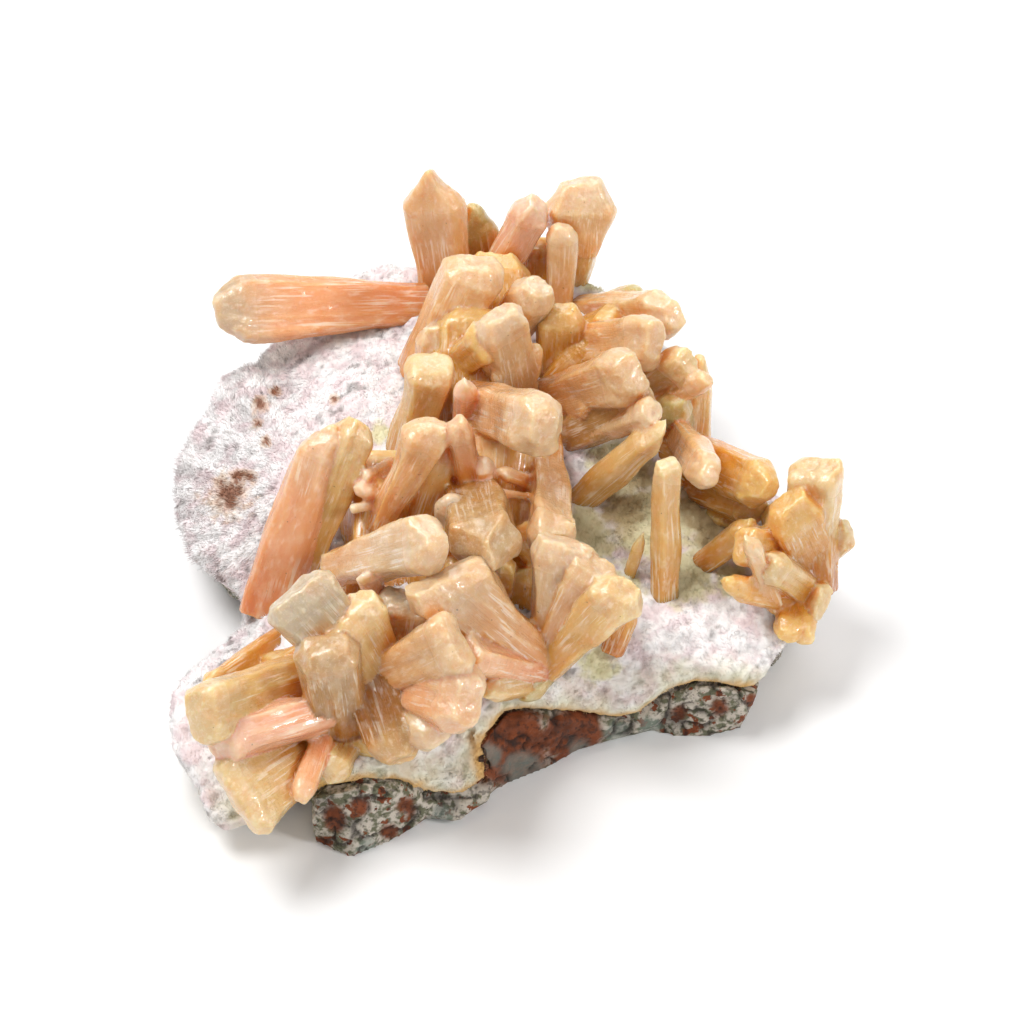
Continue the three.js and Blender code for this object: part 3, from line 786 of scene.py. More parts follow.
class Carver:
    """Draws a crystal out of its blank: taper, plates with stepped faces, a ragged end."""

    seam: float = 0.10
    bevel: float = 0.35
    low_edge: float = 0.15
    end_share: float = 0.28
    swell: float = 0.09
    tilt: float = 0.3
    foot_thick: float = 0.75
    end_thin: float = 0.4
    corner_cut: tuple[float, float] = (0.10, 0.16)
    dome: float = 0.05
    fine_striae: float = 0.1
    broad_striae: float = 0.12
    fine_crumbs: float = 0.1
    broad_crumbs: float = 0.2
    bulge: float = 0.42
    head_share: float = 0.16

    def __init__(self, crystal: Crystal, seed: int) -> None:
        """Keeps the crystal, its axes and its own random numbers.

        Args:
            crystal: The crystal.
            seed: The seed of its random numbers.
        """
        self.crystal = crystal
        self.seed = seed
        self.random = np.random.default_rng(seed)
        self.aim(VIEW.seen(crystal.foot), VIEW.seen(crystal.tip))

    def aim(self, start: Array, end: Array) -> None:
        """Sets the crystal's axes by the points at its foot and its tip.

        Args:
            start: The point at its foot, in millimetres.
            end: The point at its tip.
        """
        self.start = start
        along = end - start
        self.length = float(np.linalg.norm(along))
        along = along / self.length
        towards = VIEW.eye - self.start
        back = unit(along * (towards @ along) - towards)
        turn = math.radians(self.crystal.roll)
        side = np.cross(back, along)
        self.back = back * math.cos(turn) + np.cross(along, back) * math.sin(turn)
        self.across = np.cross(self.back, along)
        self.along = along

    def splinters(self, count: int) -> list[Carver]:
        """Gives thin blades that have grown onto the crystal's front, nearly along it.

        Args:
            count: How many there are.

        Returns:
            What draws each blade.
        """
        c, random = self.crystal, np.random.default_rng(self.seed + 7)
        found = []
        for number in range(count):
            side, drift = random.uniform(-0.7, 0.7), random.uniform(-0.12, 0.12)
            low, high = random.uniform(0.02, 0.35), random.uniform(0.55, 0.93)
            wide = c.wide * random.uniform(0.16, 0.4)
            thick = c.thick * random.uniform(0.2, 0.3)
            depth = -c.thick * random.uniform(0.36, 0.41)
            ends = [self.start + self.along * self.length * share + self.across * x
                    + self.back * depth * y
                    for share, x, y in ((low, side * c.narrow / 2, 0.8),
                                        (high, (side + drift) * c.wide / 2, 1.0))]
            blade = replace(c, wide=wide, narrow=wide * 0.8, thick=thick, slant=0.0, fan=0.0,
                            apex=random.uniform(0.3, 0.7), point=random.uniform(0.5, 1.6))
            carver = Carver(blade, self.seed + 11 + number)
            carver.aim(*ends)
            found.append(carver)
        return found

    def _columns(self, u: Array, cells: int) -> tuple[Array, Array]:
        """Spaces columns so that each cell has one near each border and one in its middle.

        Args:
            u: Where the columns are in the blank, -1 to 1.
            cells: How many cells there are.

        Returns:
            The columns' new places, -1 to 1, and the cell of each.
        """
        last = ROWS * cells - 1
        index = np.rint((u + 1) / 2 * last).astype(int)
        cell, part = index // ROWS, index % ROWS
        widths = self.random.uniform(0.5, 1.5, cells)
        edges = np.concatenate([[0], np.cumsum(widths / widths.sum())]) * 2 - 1
        width = edges[cell + 1] - edges[cell]
        share = np.choose(part, [self.seam, 0.5, 1 - self.seam])
        share = np.where(index == 0, 0.0, np.where(index == last, 1.0, share))
        return edges[cell] + width * share, cell

    def _steps(self, cells: int, cell: Array, along: Array) -> Array:
        """Gives each plate a height, with a step somewhere along it, from -1 to 1.

        Args:
            cells: How many plates there are.
            cell: The plate of each point.
            along: How far along the body each point is, 0 to 1.

        Returns:
            The height at each point.
        """
        low = self.random.uniform(-1, 1, cells)
        high = low + self.random.uniform(-0.9, 0.5, cells)
        where = self.random.uniform(0.15, 0.95, cells)
        share = smooth(-0.02, 0.02, along - where[cell])
        return low[cell] * (1 - share) + high[cell] * share

    def carve(self, blank: bpy.types.Object, number: int) -> bpy.types.Object:
        """Makes the crystal.

        Args:
            blank: The box of cells, which is copied.
            number: The crystal's number in its group, which is stored on its faces.

        Returns:
            The crystal, in metres.
        """
        c, build = self.crystal, self.crystal.build
        lattice = points_of(blank.data)
        u, plate = self._columns(lattice[:, 0], build.plates)
        v, layer = self._columns(lattice[:, 1], build.layers)
        ring = np.rint(lattice[:, 2] * build.rings) / build.rings
        shoulder = self.length - c.point
        body = ring / (1 - self.end_share) * shoulder
        end = (ring - 1 + self.end_share) / self.end_share
        t = np.where(end > 0, shoulder + np.maximum(end, 0) * c.point, body)
        share = np.clip(t / shoulder, 0, 1)
        taper = np.clip(end, 0, 1)
        half_width = (c.narrow + (c.wide - c.narrow) * share) / 2 * (1 + (c.apex - 1) * taper)
        thickness = self.foot_thick + (1 - self.foot_thick) * share
        half_thick = c.thick / 2 * thickness * (1 - self.end_thin * taper)

        front = self._steps(build.plates, plate, share)
        rear = self._steps(build.plates, plate, share)
        left = self._steps(build.layers, layer, share)
        right = self._steps(build.layers, layer, share)
        relief = np.minimum(build.relief, half_thick * 0.2)
        y = v * half_thick + np.where(v < 0, -front, rear) * relief * np.abs(v) ** 2
        chamfer = self.bevel * np.minimum(half_width, half_thick)
        reach = np.where(v < self.low_edge, 1 + self.low_edge, 1 - self.low_edge)
        slope = np.abs(v - self.low_edge) / reach
        x = (u * (half_width - chamfer * slope)
             + np.where(u < 0, -left, right) * relief * np.abs(u) ** 3)
        corner = (np.abs(u) > 0.999) & (np.abs(v) > 0.999)
        x = np.where(corner, x * (1 - self.corner_cut[0] / np.maximum(half_width, 0.3)), x)
        y = np.where(corner, y * (1 - self.corner_cut[1] / np.maximum(half_thick, 0.3)), y)

        ends = self.random.uniform(-1, 0, (build.plates, build.layers))[plate, layer] * build.ragged
        dome = -self.dome * c.point * (u * u + 0.7 * v * v)
        lean = self.random.uniform(-1, 1, 2) * self.tilt * min(c.point, 1.6)
        t = t + (ends + dome + lean[0] * u + lean[1] * v) * np.clip(end, 0, 1) ** 0.7
        t = t + c.slant * (u * (0.8 * share + 0.2 * taper)) * share * share
        spread = (t / self.length) ** 2
        x = x + c.fan * u * spread
        drift = self.random.uniform(-1, 1, build.plates)[plate] * 0.5 * build.relief
        x = x + drift * np.sin(share * 3.0)

        local = np.stack([x, y, t], axis=1)
        moved = local + self.random.uniform(0, 500, 3)
        x = x + Noise.at(moved, 4.5, 4) * self.swell * half_width * np.abs(u)
        y = y + Noise.at(moved, 3.2, 5) * self.swell * half_thick * np.abs(v)
        y = y + Noise.at(moved, 0.9, 3) * 0.03
        points = (self.start + np.outer(x, self.across) + np.outer(y, self.back)
                  + np.outer(t, self.along))

        mesh = blank.data.copy()
        piece = bpy.data.objects.new("crystal", mesh)
        bpy.context.scene.collection.objects.link(piece)
        move_points(mesh, points * MM)
        keep(mesh, "owner", np.full(len(mesh.loops), float(number)), corners=True)
        return piece

    def local(self, points: Array) -> Array:
        """Gives points by the crystal's own axes: across, backwards and along."""
        away = points - self.start
        return np.stack([away @ self.across, away @ self.back, away @ self.along], axis=1)

    def head(self, local: Array) -> Array:
        """Gives how far into the crystal's end points are, 0 along its body and 1 at its tip.

        Args:
            local: Points by the crystal's own axes.

        Returns:
            One share a point.
        """
        reach = self.crystal.point + self.head_share * self.length
        wander = Noise.at(local, 1.6, 7) * 0.8
        return smooth(self.length - reach, self.length - 0.35 * reach, local[:, 2] + wander)

    def relief(self, local: Array) -> Array:
        """Gives the skin's relief in millimetres: striae along the body, crumbs on the end.

        Args:
            local: Points by the crystal's own axes.

        Returns:
            The relief at each point.
        """
        head = self.head(local)
        size = min(1.0, self.crystal.wide / 5)
        moved = local + np.random.default_rng(self.seed + 5).uniform(0, 400, 3)
        strong = smooth(-0.2, 0.4, Noise.at(moved * (1.0, 1.0, 0.25), 2.6, 14)) * 0.75 + 0.25
        fine = Noise.at(moved * (1.0, 1.0, 0.06), 0.55, 8)
        broad = Noise.at(moved * (1.0, 1.0, 0.08), 1.5, 9)
        striae = (fine * self.fine_striae + broad * self.broad_striae) * strong
        crumbs = (Noise.at(moved, 0.75, 10) * self.fine_crumbs
                  + Noise.at(moved, 2.0, 11) * self.broad_crumbs * size)
        swell = Noise.at(moved * (1.0, 1.0, 0.6), 3.6, 15) * self.bulge * size
        return striae * (1 - 0.85 * head) + crumbs * (0.25 + 0.75 * head) + swell

    def color(self, local: Array) -> Array:
        """Gives the body colour at points of the crystal.

        Args:
            local: Points by the crystal's own axes.

        Returns:
            The colours, as linear light, one a row.
        """
        hues = self.crystal.tint.value
        share = np.clip(local[:, 2] / self.length + Noise.at(local, 3.0, 12) * 0.08, 0, 1)
        foot, body, tip = (linear(c) for c in (hues.foot, hues.body, hues.tip))
        # Deeper towards the foot: partly the crystal's own colour, partly painted shade at the feet.
        up = smooth(0.0, 0.6, share)[:, None]
        out = smooth(0.6, 1.0, share)[:, None]
        color = (foot * (1 - up) + body * up) * (1 - out) + tip * out
        shade = np.random.default_rng(self.seed).uniform(1.02, 1.14)
        tone = shade * (1 + 0.05 * Noise.at(local * (1.0, 1.0, 0.3), 2.4, 13))
        return np.clip(color * tone[:, None], 0, 1)


def core(foot: Place, tip: Place, wide: float, narrow: float, thick: float,
         roll: float = 0.0, tint: Tint = Tint.AMBER) -> Crystal:
    """Describes a block of the grown-together mass, which the crystals stand in."""
    return Crystal(foot, tip, wide, narrow, thick, roll, tint=tint)


@dataclass(frozen=True)
class StilbiteGroup:
    """Crystals that have grown together and are one piece."""

    name: str
    node: str
    seed: int
    crystals: tuple[Crystal, ...]
    cell: float = 0.28
    feelers: int = 8
    feeler_length: float = 7.0
    feeler_spread: float = 0.95
    feeler_lift: float = 0.05
    enclosed: tuple[float, float] = (0.12, 0.7)

    def build(self, blanks: Blanks, material: bpy.types.Material) -> bpy.types.Object:
        """Makes the piece.

        Args:
            blanks: The boxes of cells that crystals are drawn out of.
            material: The finish.

        Returns:
            The piece, dressed and on the frame.
        """
        carvers = [Carver(crystal, SEED + 1000 * self.seed + 20 * i)
                   for i, crystal in enumerate(self.crystals)]
        grown = [blade.carve(blanks.get(blade.crystal.build), i) for i, carver in enumerate(carvers)
                 for blade in [carver, *carver.splinters(self.splinters(carver.crystal))]]
        piece = grown[0]
        piece.name = self.name
        if len(grown) > 1:
            self._join(piece, grown[1:])
        self._skin(piece, carvers)
        self._shade_inner(piece.data)
        finish_piece(piece, (self.node,), material)
        return piece

    def _skin(self, piece: bpy.types.Object, carvers: list[Carver]) -> None:
        """Draws a fine skin over the crystals, with each one's relief, grain and colour.

        Args:
            piece: The joined crystals.
            carvers: What drew each crystal, by its number.
        """
        faces = piece.data.polygons
        owners = read(piece.data.attributes["owner"].data, "value", kind=np.float32)
        owner_of = [int(round(owners[face.loop_start])) for face in faces]
        tree = surface_of(piece.data)
        reskin(piece, self.cell)
        apply_modifier(piece, "SMOOTH", factor=0.5, iterations=2)
        mesh = piece.data
        points, normals = points_of(mesh), normals_of(mesh)
        owner = np.array([owner_of[tree.find_nearest(Vector(p))[2]] for p in points])
        corner = read(mesh.loops, "vertex_index", kind=np.int32)
        starts = read(mesh.polygons, "loop_start", kind=np.int32)
        sizes = read(mesh.polygons, "loop_total", kind=np.int32)
        corner_owner = np.repeat(owner[corner[starts]], sizes)
        relief, head = np.zeros(len(points)), np.zeros(len(points))
        body, grain = np.ones((len(points), 4)), np.zeros((len(corner), 3))
        for number, carver in enumerate(carvers):
            mine = owner == number
            local = carver.local(points[mine] / MM)
            relief[mine] = carver.relief(local)
            body[mine, :3] = carver.color(local)
            head[mine] = carver.head(local)
            mine = corner_owner == number
            grain[mine] = (carver.local(points[corner[mine]] / MM)
                           + np.random.default_rng(carver.seed).uniform(0, 300, 3))
        move_points(mesh, points + normals * relief[:, None] * MM)
        keep(mesh, "body", body)
        keep(mesh, "head", head)
        keep(mesh, "grain", grain, corners=True)

    @staticmethod
    def splinters(crystal: Crystal) -> int:
        """Gives how many thin blades grow on a crystal, by its size.

        Args:
            crystal: The crystal.

        Returns:
            How many there are: none on a thin crystal, and up to two on a thick one.
        """
        if crystal.thick < SPLINTERED_THICK:
            return 0
        return sum(crystal.wide > width for width in SPLINTER_WIDTHS)

    def _join(self, piece: bpy.types.Object, others: list[bpy.types.Object]) -> None:
        """Joins crystals that overlap into one closed solid.

        Args:
            piece: The crystal that becomes the solid.
            others: The others, which are removed.
        """
        bunch = bpy.data.collections.new(self.name)
        bpy.context.scene.collection.children.link(bunch)
        for other in others:
            bunch.objects.link(other)
        apply_modifier(piece, "BOOLEAN", operation="UNION", operand_type="COLLECTION",
                       collection=bunch, solver="MANIFOLD")
        for other in others:
            bpy.data.objects.remove(other)
        bpy.data.collections.remove(bunch)

    def _shade_inner(self, mesh: bpy.types.Mesh) -> None:
        """Stores how enclosed each vertex is, from 0 in the open to 1 far into a crevice, as painted
        shade that makes the crevices a deeper orange.

        Args:
            mesh: The skinned crystals.
        """
        points, normals = points_of(mesh), normals_of(mesh)
        tree = surface_of(mesh)
        random = np.random.default_rng(self.seed)
        spread = unit(random.normal(size=(self.feelers, 3)))
        reach = self.feeler_length * MM
        hollow_shade = np.zeros(len(points))
        for direction in spread:
            rays = unit(normals + direction * self.feeler_spread)
            starts = points + normals * self.feeler_lift * MM
            for i, (start, ray) in enumerate(zip(starts.tolist(), rays.tolist())):
                distance = tree.ray_cast(start, ray, reach)[3]
                if distance is not None:
                    hollow_shade[i] += 1 - distance / reach
        # Painted shade, which the material mixes in as a deeper orange.
        keep(mesh, "hollow_shade", smooth(*self.enclosed, hollow_shade / self.feelers))


def stilbite() -> tuple[StilbiteGroup, ...]:
    """Lists the groups of crystals."""
    peach, salmon, smoked, pale, grey = Tint.PEACH, Tint.SALMON, Tint.SMOKED, Tint.PALE, Tint.GREY
    amber, yellow, olive, pink = Tint.AMBER, Tint.YELLOW, Tint.OLIVE, Tint.PINK
    tan, honey = Tint.TAN, Tint.HONEY
    cluster = "stilbite_cluster"
    return (
        StilbiteGroup("stilbite_long_left_blade", "stilbite_left_blade", 1, (
            Crystal((-10.5, 25.8, 14), (-37.4, 25.2, 20), 9.2, 6.2, 4, 8, 0.45, 3.8, tint=smoked),
        )),
        StilbiteGroup("stilbite_back_blades", cluster, 2, (
            core((-5, 6, 15), (-4, 25, 25), 12, 12, 9, -5),
            core((-3, 18, 14), (-2, 32, 22), 10, 10, 7),
            core((2, 24, 11), (2, 34, 18), 10, 10, 5),
            Crystal((-8, 26.5, 12), (-10.4, 42.8, 30), 8.8, 7, 4, -25, 0.15, 5, tint=peach),
            Crystal((-2.75, 26.5, 10), (-5.2, 38.6, 24), 6.6, 5, 2, 10, 0.2, 5, tint=olive),
            Crystal((-4, 26.5, 12), (3.4, 38.7, 28), 5.5, 4.5, 4, 30, 0.5, 2.5, tint=pink),
            Crystal((7.2, 27.5, 12), (8.2, 36, 21.5), 6.4, 4.5, 4.5, 10, 0.8, tint=yellow),
            Crystal((8, 32.5, 18), (8.5, 41.6, 27), 10, 5.5, 5.5, 10, 0.6, 4, tint=pale),
            Crystal((6, 25.25, 13.5), (6.4, 35.75, 25), 4, 3.4, 3, point=1.5, tint=pale),
            Crystal((2.25, 26.5, 11), (2.9, 33.4, 19), 4.5, 4, 3, tint=amber),
            Crystal((-10.9, 17.1, 15), (-4.25, 31.25, 31), 8.8, 8, 6.5, 8, 0.7, tint=peach),
            Crystal((-9, 12, 14), (-9.8, 23.5, 26), 5.5, 5.5, 5, tint=peach),
            Crystal((-1.5, 20.25, 16), (3.25, 28.4, 29), 6.5, 5, 5, -20, point=2.5, tint=pale),
            Crystal((1, 12.75, 16), (-1.75, 25, 34), 7.5, 5.5, 5, 25, 0.7, tint=pale),
            Crystal((-9, 16.5, 16), (-2.75, 21.75, 31), 5.5, 4.5, 4, 0, 0.8, 1, tint=amber),
            Crystal((-2.75, 14, 15), (-5.25, 19.25, 24), 4.5, 4, 3, tint=salmon),
        )),
        StilbiteGroup("stilbite_middle_blades", cluster, 3, (
            core((-3, -18, 10.5), (-0.5, 12, 23), 13, 14, 9, 5),
            core((-4, 5, 10), (-3, 12, 21), 12, 12, 11),
            core((-15, -18, 11.5), (-14, 7, 20), 14, 14, 8),
            Crystal((-13.5, 6, 14), (-10, 18.6, 30), 5.8, 5.5, 6, 15, 0.75, 1.5, fan=0.6, tint=yellow),
            Crystal((-16.75, -2.25, 20), (-10, 11.1, 34), 5.6, 3.2, 4.5, 20, 0.55, fan=0.5, tint=peach),
            Crystal((-13.4, 5, 20), (-19.4, 2.5, 26), 3.2, 2, 2, tint=pink),
            Crystal((-13.5, 1.5, 20), (-20.25, 0.25, 25), 1.6, 1, 1, point=0.6, tint=pink),
            Crystal((-13, 7.5, 20), (-18.4, 4.6, 27), 1.5, 1.2, 1.2, point=0.6, tint=pink),
            Crystal((-12.4, -3, 19), (-8.2, 8.8, 29), 4.2, 3, 3.5, 25, 0.5, fan=0.4, tint=yellow),
            Crystal((-11, -2, 18), (-10.6, 5.6, 26), 2.6, 2.4, 2.2, -20, tint=amber),
            Crystal((-17.5, -3, 18), (-16.4, 4, 25), 3.4, 2.6, 2.6, 10, 0.4, tint=amber),
            core((-9, -15, 13), (-9.5, -4.5, 20), 8, 7, 4.5),
            core((1, -16, 12), (2, -6.5, 19), 6, 6, 4),
            Crystal((-31, -13.5, 11), (-23.2, 10.4, 30), 5.8, 7.2, 5, -10, 0.5, slant=1.6, tint=salmon),
            Crystal((-27.75, -11, 11.5), (-19, 11.6, 31), 5.4, 4.5, 5, 25, tint=yellow),
            Crystal((-22.75, -7.2, 20), (-9, -3.6, 37), 7.8, 5, 5, -15, 0.35, 3, tint=pale),
            Crystal((-5.25, 13.4, 22), (4.2, 10.5, 38.5), 8.2, 6.4, 6, 10, point=2.5, tint=peach),
            Crystal((-6.25, 9.6, 20), (-5.6, 16.4, 34), 3.3, 3, 2.6, 20, 0.3, 2.5, tint=pink),
            Crystal((-4.6, 0.9, 20), (-7, 11.6, 35), 3.8, 3, 3.5, tint=salmon),
            Crystal((-3.1, 0.9, 20), (-3.5, 6.4, 29), 2.6, 2.4, 2.5, point=1, tint=pink),
            Crystal((3.5, 1.7, 22), (-2.9, 2.6, 27), 1.2, 1, 1, point=0.6, tint=pink),
            Crystal((4.5, 2.8, 20), (-1.6, 5.2, 27), 2.4, 2, 1.6, 15, 0.4, 1.2, tint=salmon),
            Crystal((4.1, 9, 18), (5.1, -3.9, 27), 5.8, 4.4, 5, -20, 0.7, 1.5, fan=0.5, tint=peach),
            Crystal((-5.25, 4, 20), (-2.9, -5.6, 33), 9.2, 6.5, 6, 0, 0.15, 5.5, tint=tan),
            Crystal((-4.6, -3.5, 20), (-8.25, 0.9, 29), 4.5, 4, 3, tint=grey),
            Crystal((-1.25, -12, 17), (-0.5, -6, 28), 2.9, 2.2, 2.2, point=1, tint=amber),
            Crystal((3.9, -6.4, 17), (0.5, -2.5, 25), 3.6, 3, 2.5, 0, 0.85, 0.6, tint=amber),
            Crystal((-7.9, -6.25, 19), (-8.1, -2, 26), 1.5, 1.4, 1.2, point=0.6, tint=amber),
            Crystal((-16, -13, 18), (-18, -7.6, 29), 3.6, 3, 1.5, point=0.8, tint=pink),
        ), cell=0.31),
        StilbiteGroup("stilbite_front_sheaves", cluster, 4, (
            core((-20, -21, 11), (-15, -30, 12), 10, 10, 7),
            core((-16, -17, 12), (-30, -24, 13), 11, 12, 6),
            core((-5, -20, 13), (-13, -20, 18), 8, 9, 6),
            Crystal((4.1, -19.1, 14), (-9.4, -8.1, 33), 9.8, 4, 5, point=2.5, slant=-2.2, fan=0.8,
                    tint=peach),
            Crystal((4.1, -19.5, 13), (6.9, -3.5, 31), 7.5, 4, 5, 0, 0.7, fan=0.8, tint=pale),
            Crystal((4.1, -19.5, 13), (10.6, -6.25, 30), 6, 4, 5, 0, 0.7, fan=0.6, tint=peach),
            Crystal((4.1, -19.75, 13), (14.1, -9.5, 30), 6.5, 4, 5, 0, 0.5, fan=0.6, tint=yellow),
            Crystal((7.25, -16.25, 12), (0.75, -22.5, 14), 5, 4, 3, tint=olive),
            Crystal((4.1, -20, 13), (-6, -17.5, 25), 5.5, 4, 4, 55, 0.9, 0.6, tint=salmon),
            Crystal((3.75, -21.25, 12), (-3.25, -22.25, 19), 3.5, 3, 3, tint=yellow),
            Crystal((-15.5, -23, 15), (-27.5, -9.5, 33), 9, 6, 5, 0, 0.7, fan=0.8, tint=grey),
            Crystal((-14.5, -22.5, 16), (-20.5, -12, 30), 8.5, 6.5, 5, 12, 0.8, fan=0.6, tint=yellow),
            Crystal((-14, -20, 15), (-12.5, -10.5, 26), 9, 8, 5, 0, 0.8, 1.2, tint=grey),
            Crystal((-19, -16, 22), (-13.75, -31.25, 15), 8, 6.5, 5, 10, 0.5, 2.5, tint=honey),
            Crystal((-17.1, -21, 18), (-6.5, -16, 31), 7, 5, 5, 0, 0.8, 1.2, fan=0.5, tint=peach),
            Crystal((-14, -21, 17), (-5.25, -23.75, 26), 8.5, 6, 6, point=2.5, fan=0.6, tint=salmon),
            Crystal((-13.4, -22.25, 16), (-9.25, -28.1, 20), 6, 5, 5, tint=pale),
            Crystal((-22.75, -20, 14), (-39.6, -25.6, 24), 8, 7.5, 5, -15, 0.85, 1.2, tint=yellow),
            Crystal((-21.25, -27.9, 13), (-23.4, -16.4, 29), 8, 6, 5, fan=0.5, tint=tan),
            Crystal((-20.25, -23.8, 17), (-37.6, -29.1, 19.5), 6, 5, 5, tint=pink),
            Crystal((-22.5, -28, 11), (-34.6, -36.2, 15), 9.5, 5, 4, 0, 0.8, 1.5, fan=1.0, tint=yellow),
            Crystal((-23.75, -28.25, 15), (-26.5, -36.25, 14), 3, 3, 2, tint=salmon),
            Crystal((-20, -27.5, 12), (-23.4, -33, 13), 5, 4.5, 3.5, tint=yellow),
            Crystal((-25.9, -14.1, 12), (-38.75, -22.6, 17), 4, 3.5, 3, tint=amber),
        )),
        StilbiteGroup("stilbite_right_blades", cluster, 5, (
            core((4, 10, 11), (16, 22, 22), 11, 9, 6, -10),
            core((15, 9, 12), (30, 0, 15), 9, 9, 5),
            core((7, 21, 12), (14, 24.5, 20), 5, 5, 6),
            Crystal((5.4, 14, 12), (6.25, 25.5, 25), 6.5, 5.5, 4, tint=amber),
            Crystal((9, 24.5, 12), (20.4, 24.6, 25), 7.2, 6, 4, 20, 0.5, 3.5, tint=pale),
            Crystal((9.5, 25, 11), (16.4, 27.1, 20), 4, 3.5, 3.5, tint=olive),
            Crystal((6.25, 20.4, 15), (17.9, 21.4, 30), 7.2, 6.5, 4.5, -10, 0.7, 2.5, tint=peach),
            Crystal((4.1, 14, 16), (15.1, 17.25, 33), 7.4, 5, 5, 10, 0.55, 3, fan=0.4, tint=peach),
            Crystal((5.75, 9, 14), (17, 13.75, 28), 6, 5, 5, 0, 0.8, 1.2, tint=tan),
            Crystal((7.9, 9, 15), (17.6, 12.6, 30), 3.6, 3, 4, 35, 0.8, 1, tint=pale),
            Crystal((14.75, 14, 14), (22.2, 18.9, 27), 5.6, 4, 4, 15, 0.6, 2.5, tint=yellow),
            Crystal((15.4, 12.1, 14), (24.5, 16.9, 26), 3.4, 3, 3, tint=peach),
            Crystal((22.8, 7.1, 11), (23.6, 19.6, 23), 4, 4.4, 3.6, 20, 0.3, 5, tint=yellow),
            Crystal((19.75, 7.75, 11), (20.5, 14.4, 22), 5, 5, 4, tint=olive),
            Crystal((20, 10.5, 15), (24.75, 4.75, 29), 4.8, 4.4, 3.4, 25, 0.6, 2.5, tint=peach),
            Crystal((22.25, 7.75, 16), (32.5, 2.5, 26), 7.2, 5.5, 4.4, 5, 0.45, 3.5, tint=amber),
            Crystal((21.6, 2.75, 13), (31, -0.1, 19), 4.5, 4, 4, tint=amber),
            Crystal((7.25, 0.6, 14), (19.25, 10.75, 30), 4.6, 3.8, 3.8, 35, 0.1, 3.5, slant=0.6,
                    tint=yellow),
        )),
        StilbiteGroup("stilbite_right_bunch", cluster, 6, (
            core((37, -10, 10), (35.5, 2, 21), 10, 8, 7),
            Crystal((22.5, -7.5, 12), (30.25, -1.75, 22), 3.8, 3.4, 3, 0, 0.5, tint=amber),
            Crystal((37.25, -7.9, 10), (37.9, 5.7, 28), 7.6, 6, 5, -15, 0.9, 0.8, slant=0.8, tint=yellow),
            Crystal((38.4, -7.2, 12), (34.2, 1.5, 26), 7.2, 5, 5, 10, 0.6, 3, fan=0.4, tint=amber),
            Crystal((37.9, -6.25, 10), (42.3, -1.9, 18), 4.5, 3.5, 3, 0, 0.5, tint=yellow),
            Crystal((37.5, -3.5, 14), (28.5, -4.2, 23), 5.4, 5, 4, 0, 0.8, 1, tint=amber),
            Crystal((33, -12, 13), (29.4, -3, 27), 2.8, 2.4, 2.4, 0, 0.35, tint=pale),
            Crystal((36.25, -11, 12), (26.6, -9.1, 20), 3.8, 4, 2.5, 0, 0.5, 3, tint=amber),
            Crystal((34.1, -9.5, 12), (37, -16.1, 12), 4, 3, 3, 0, 0.5, tint=amber),
            Crystal((35.4, -9.75, 10), (39, -11.5, 14), 5.5, 4.5, 3, 0, 0.8, 1, tint=yellow),
            Crystal((37, -10, 12), (32, -6.5, 22), 4.5, 4, 3.5, tint=yellow),
            Crystal((36, -10.75, 11), (34.25, -15.75, 13), 4.5, 4, 3, tint=amber),
        )),
        StilbiteGroup("stilbite_lone_prism", "stilbite_long_prism", 7, (
            Crystal((19.25, -11, 13), (19.4, 6.6, 32), 4.1, 3.6, 3.2, 30, 0.75, 1.2, tint=yellow),
        )),
        StilbiteGroup("stilbite_pointed_needle", "stilbite_needle", 8, (
            Crystal((14.1, -9.5, 13), (16.6, -2.1, 22), 1.9, 1.6, 1.6, 0, 0.2, 3, tint=yellow),
        )),
        StilbiteGroup("stilbite_small_blade", "stilbite_low_blade", 9, (
            Crystal((12.4, -17.6, 12.5), (14.9, -11.2, 18), 3.4, 3, 3, 0, 0.35, tint=amber),
        )),
    )


# Basalt

@dataclass(frozen=True)
class Patch:
    """A round patch on the view: right of its middle, up from its middle, and its radius."""

    right: float
    up: float
    radius: float

    def share(self, shown: Array, wander: Array) -> Array:
        """Gives 1 in the patch's middle and 0 outside, with a wandering edge.

        Args:
            shown: Where points appear on the view.
            wander: Noise at the points.

        Returns:
            One share a point.
        """
        away = np.hypot(shown[:, 0] - self.right, shown[:, 1] - self.up) / self.radius
        return 1 - smooth(0.55, 1.05, away + 0.45 * wander)


def patched(patches: tuple[Patch, ...], shown: Array, wander: Array) -> Array:
    """Gives the strongest share of several patches."""
    return np.max([patch.share(shown, wander) for patch in patches], axis=0)


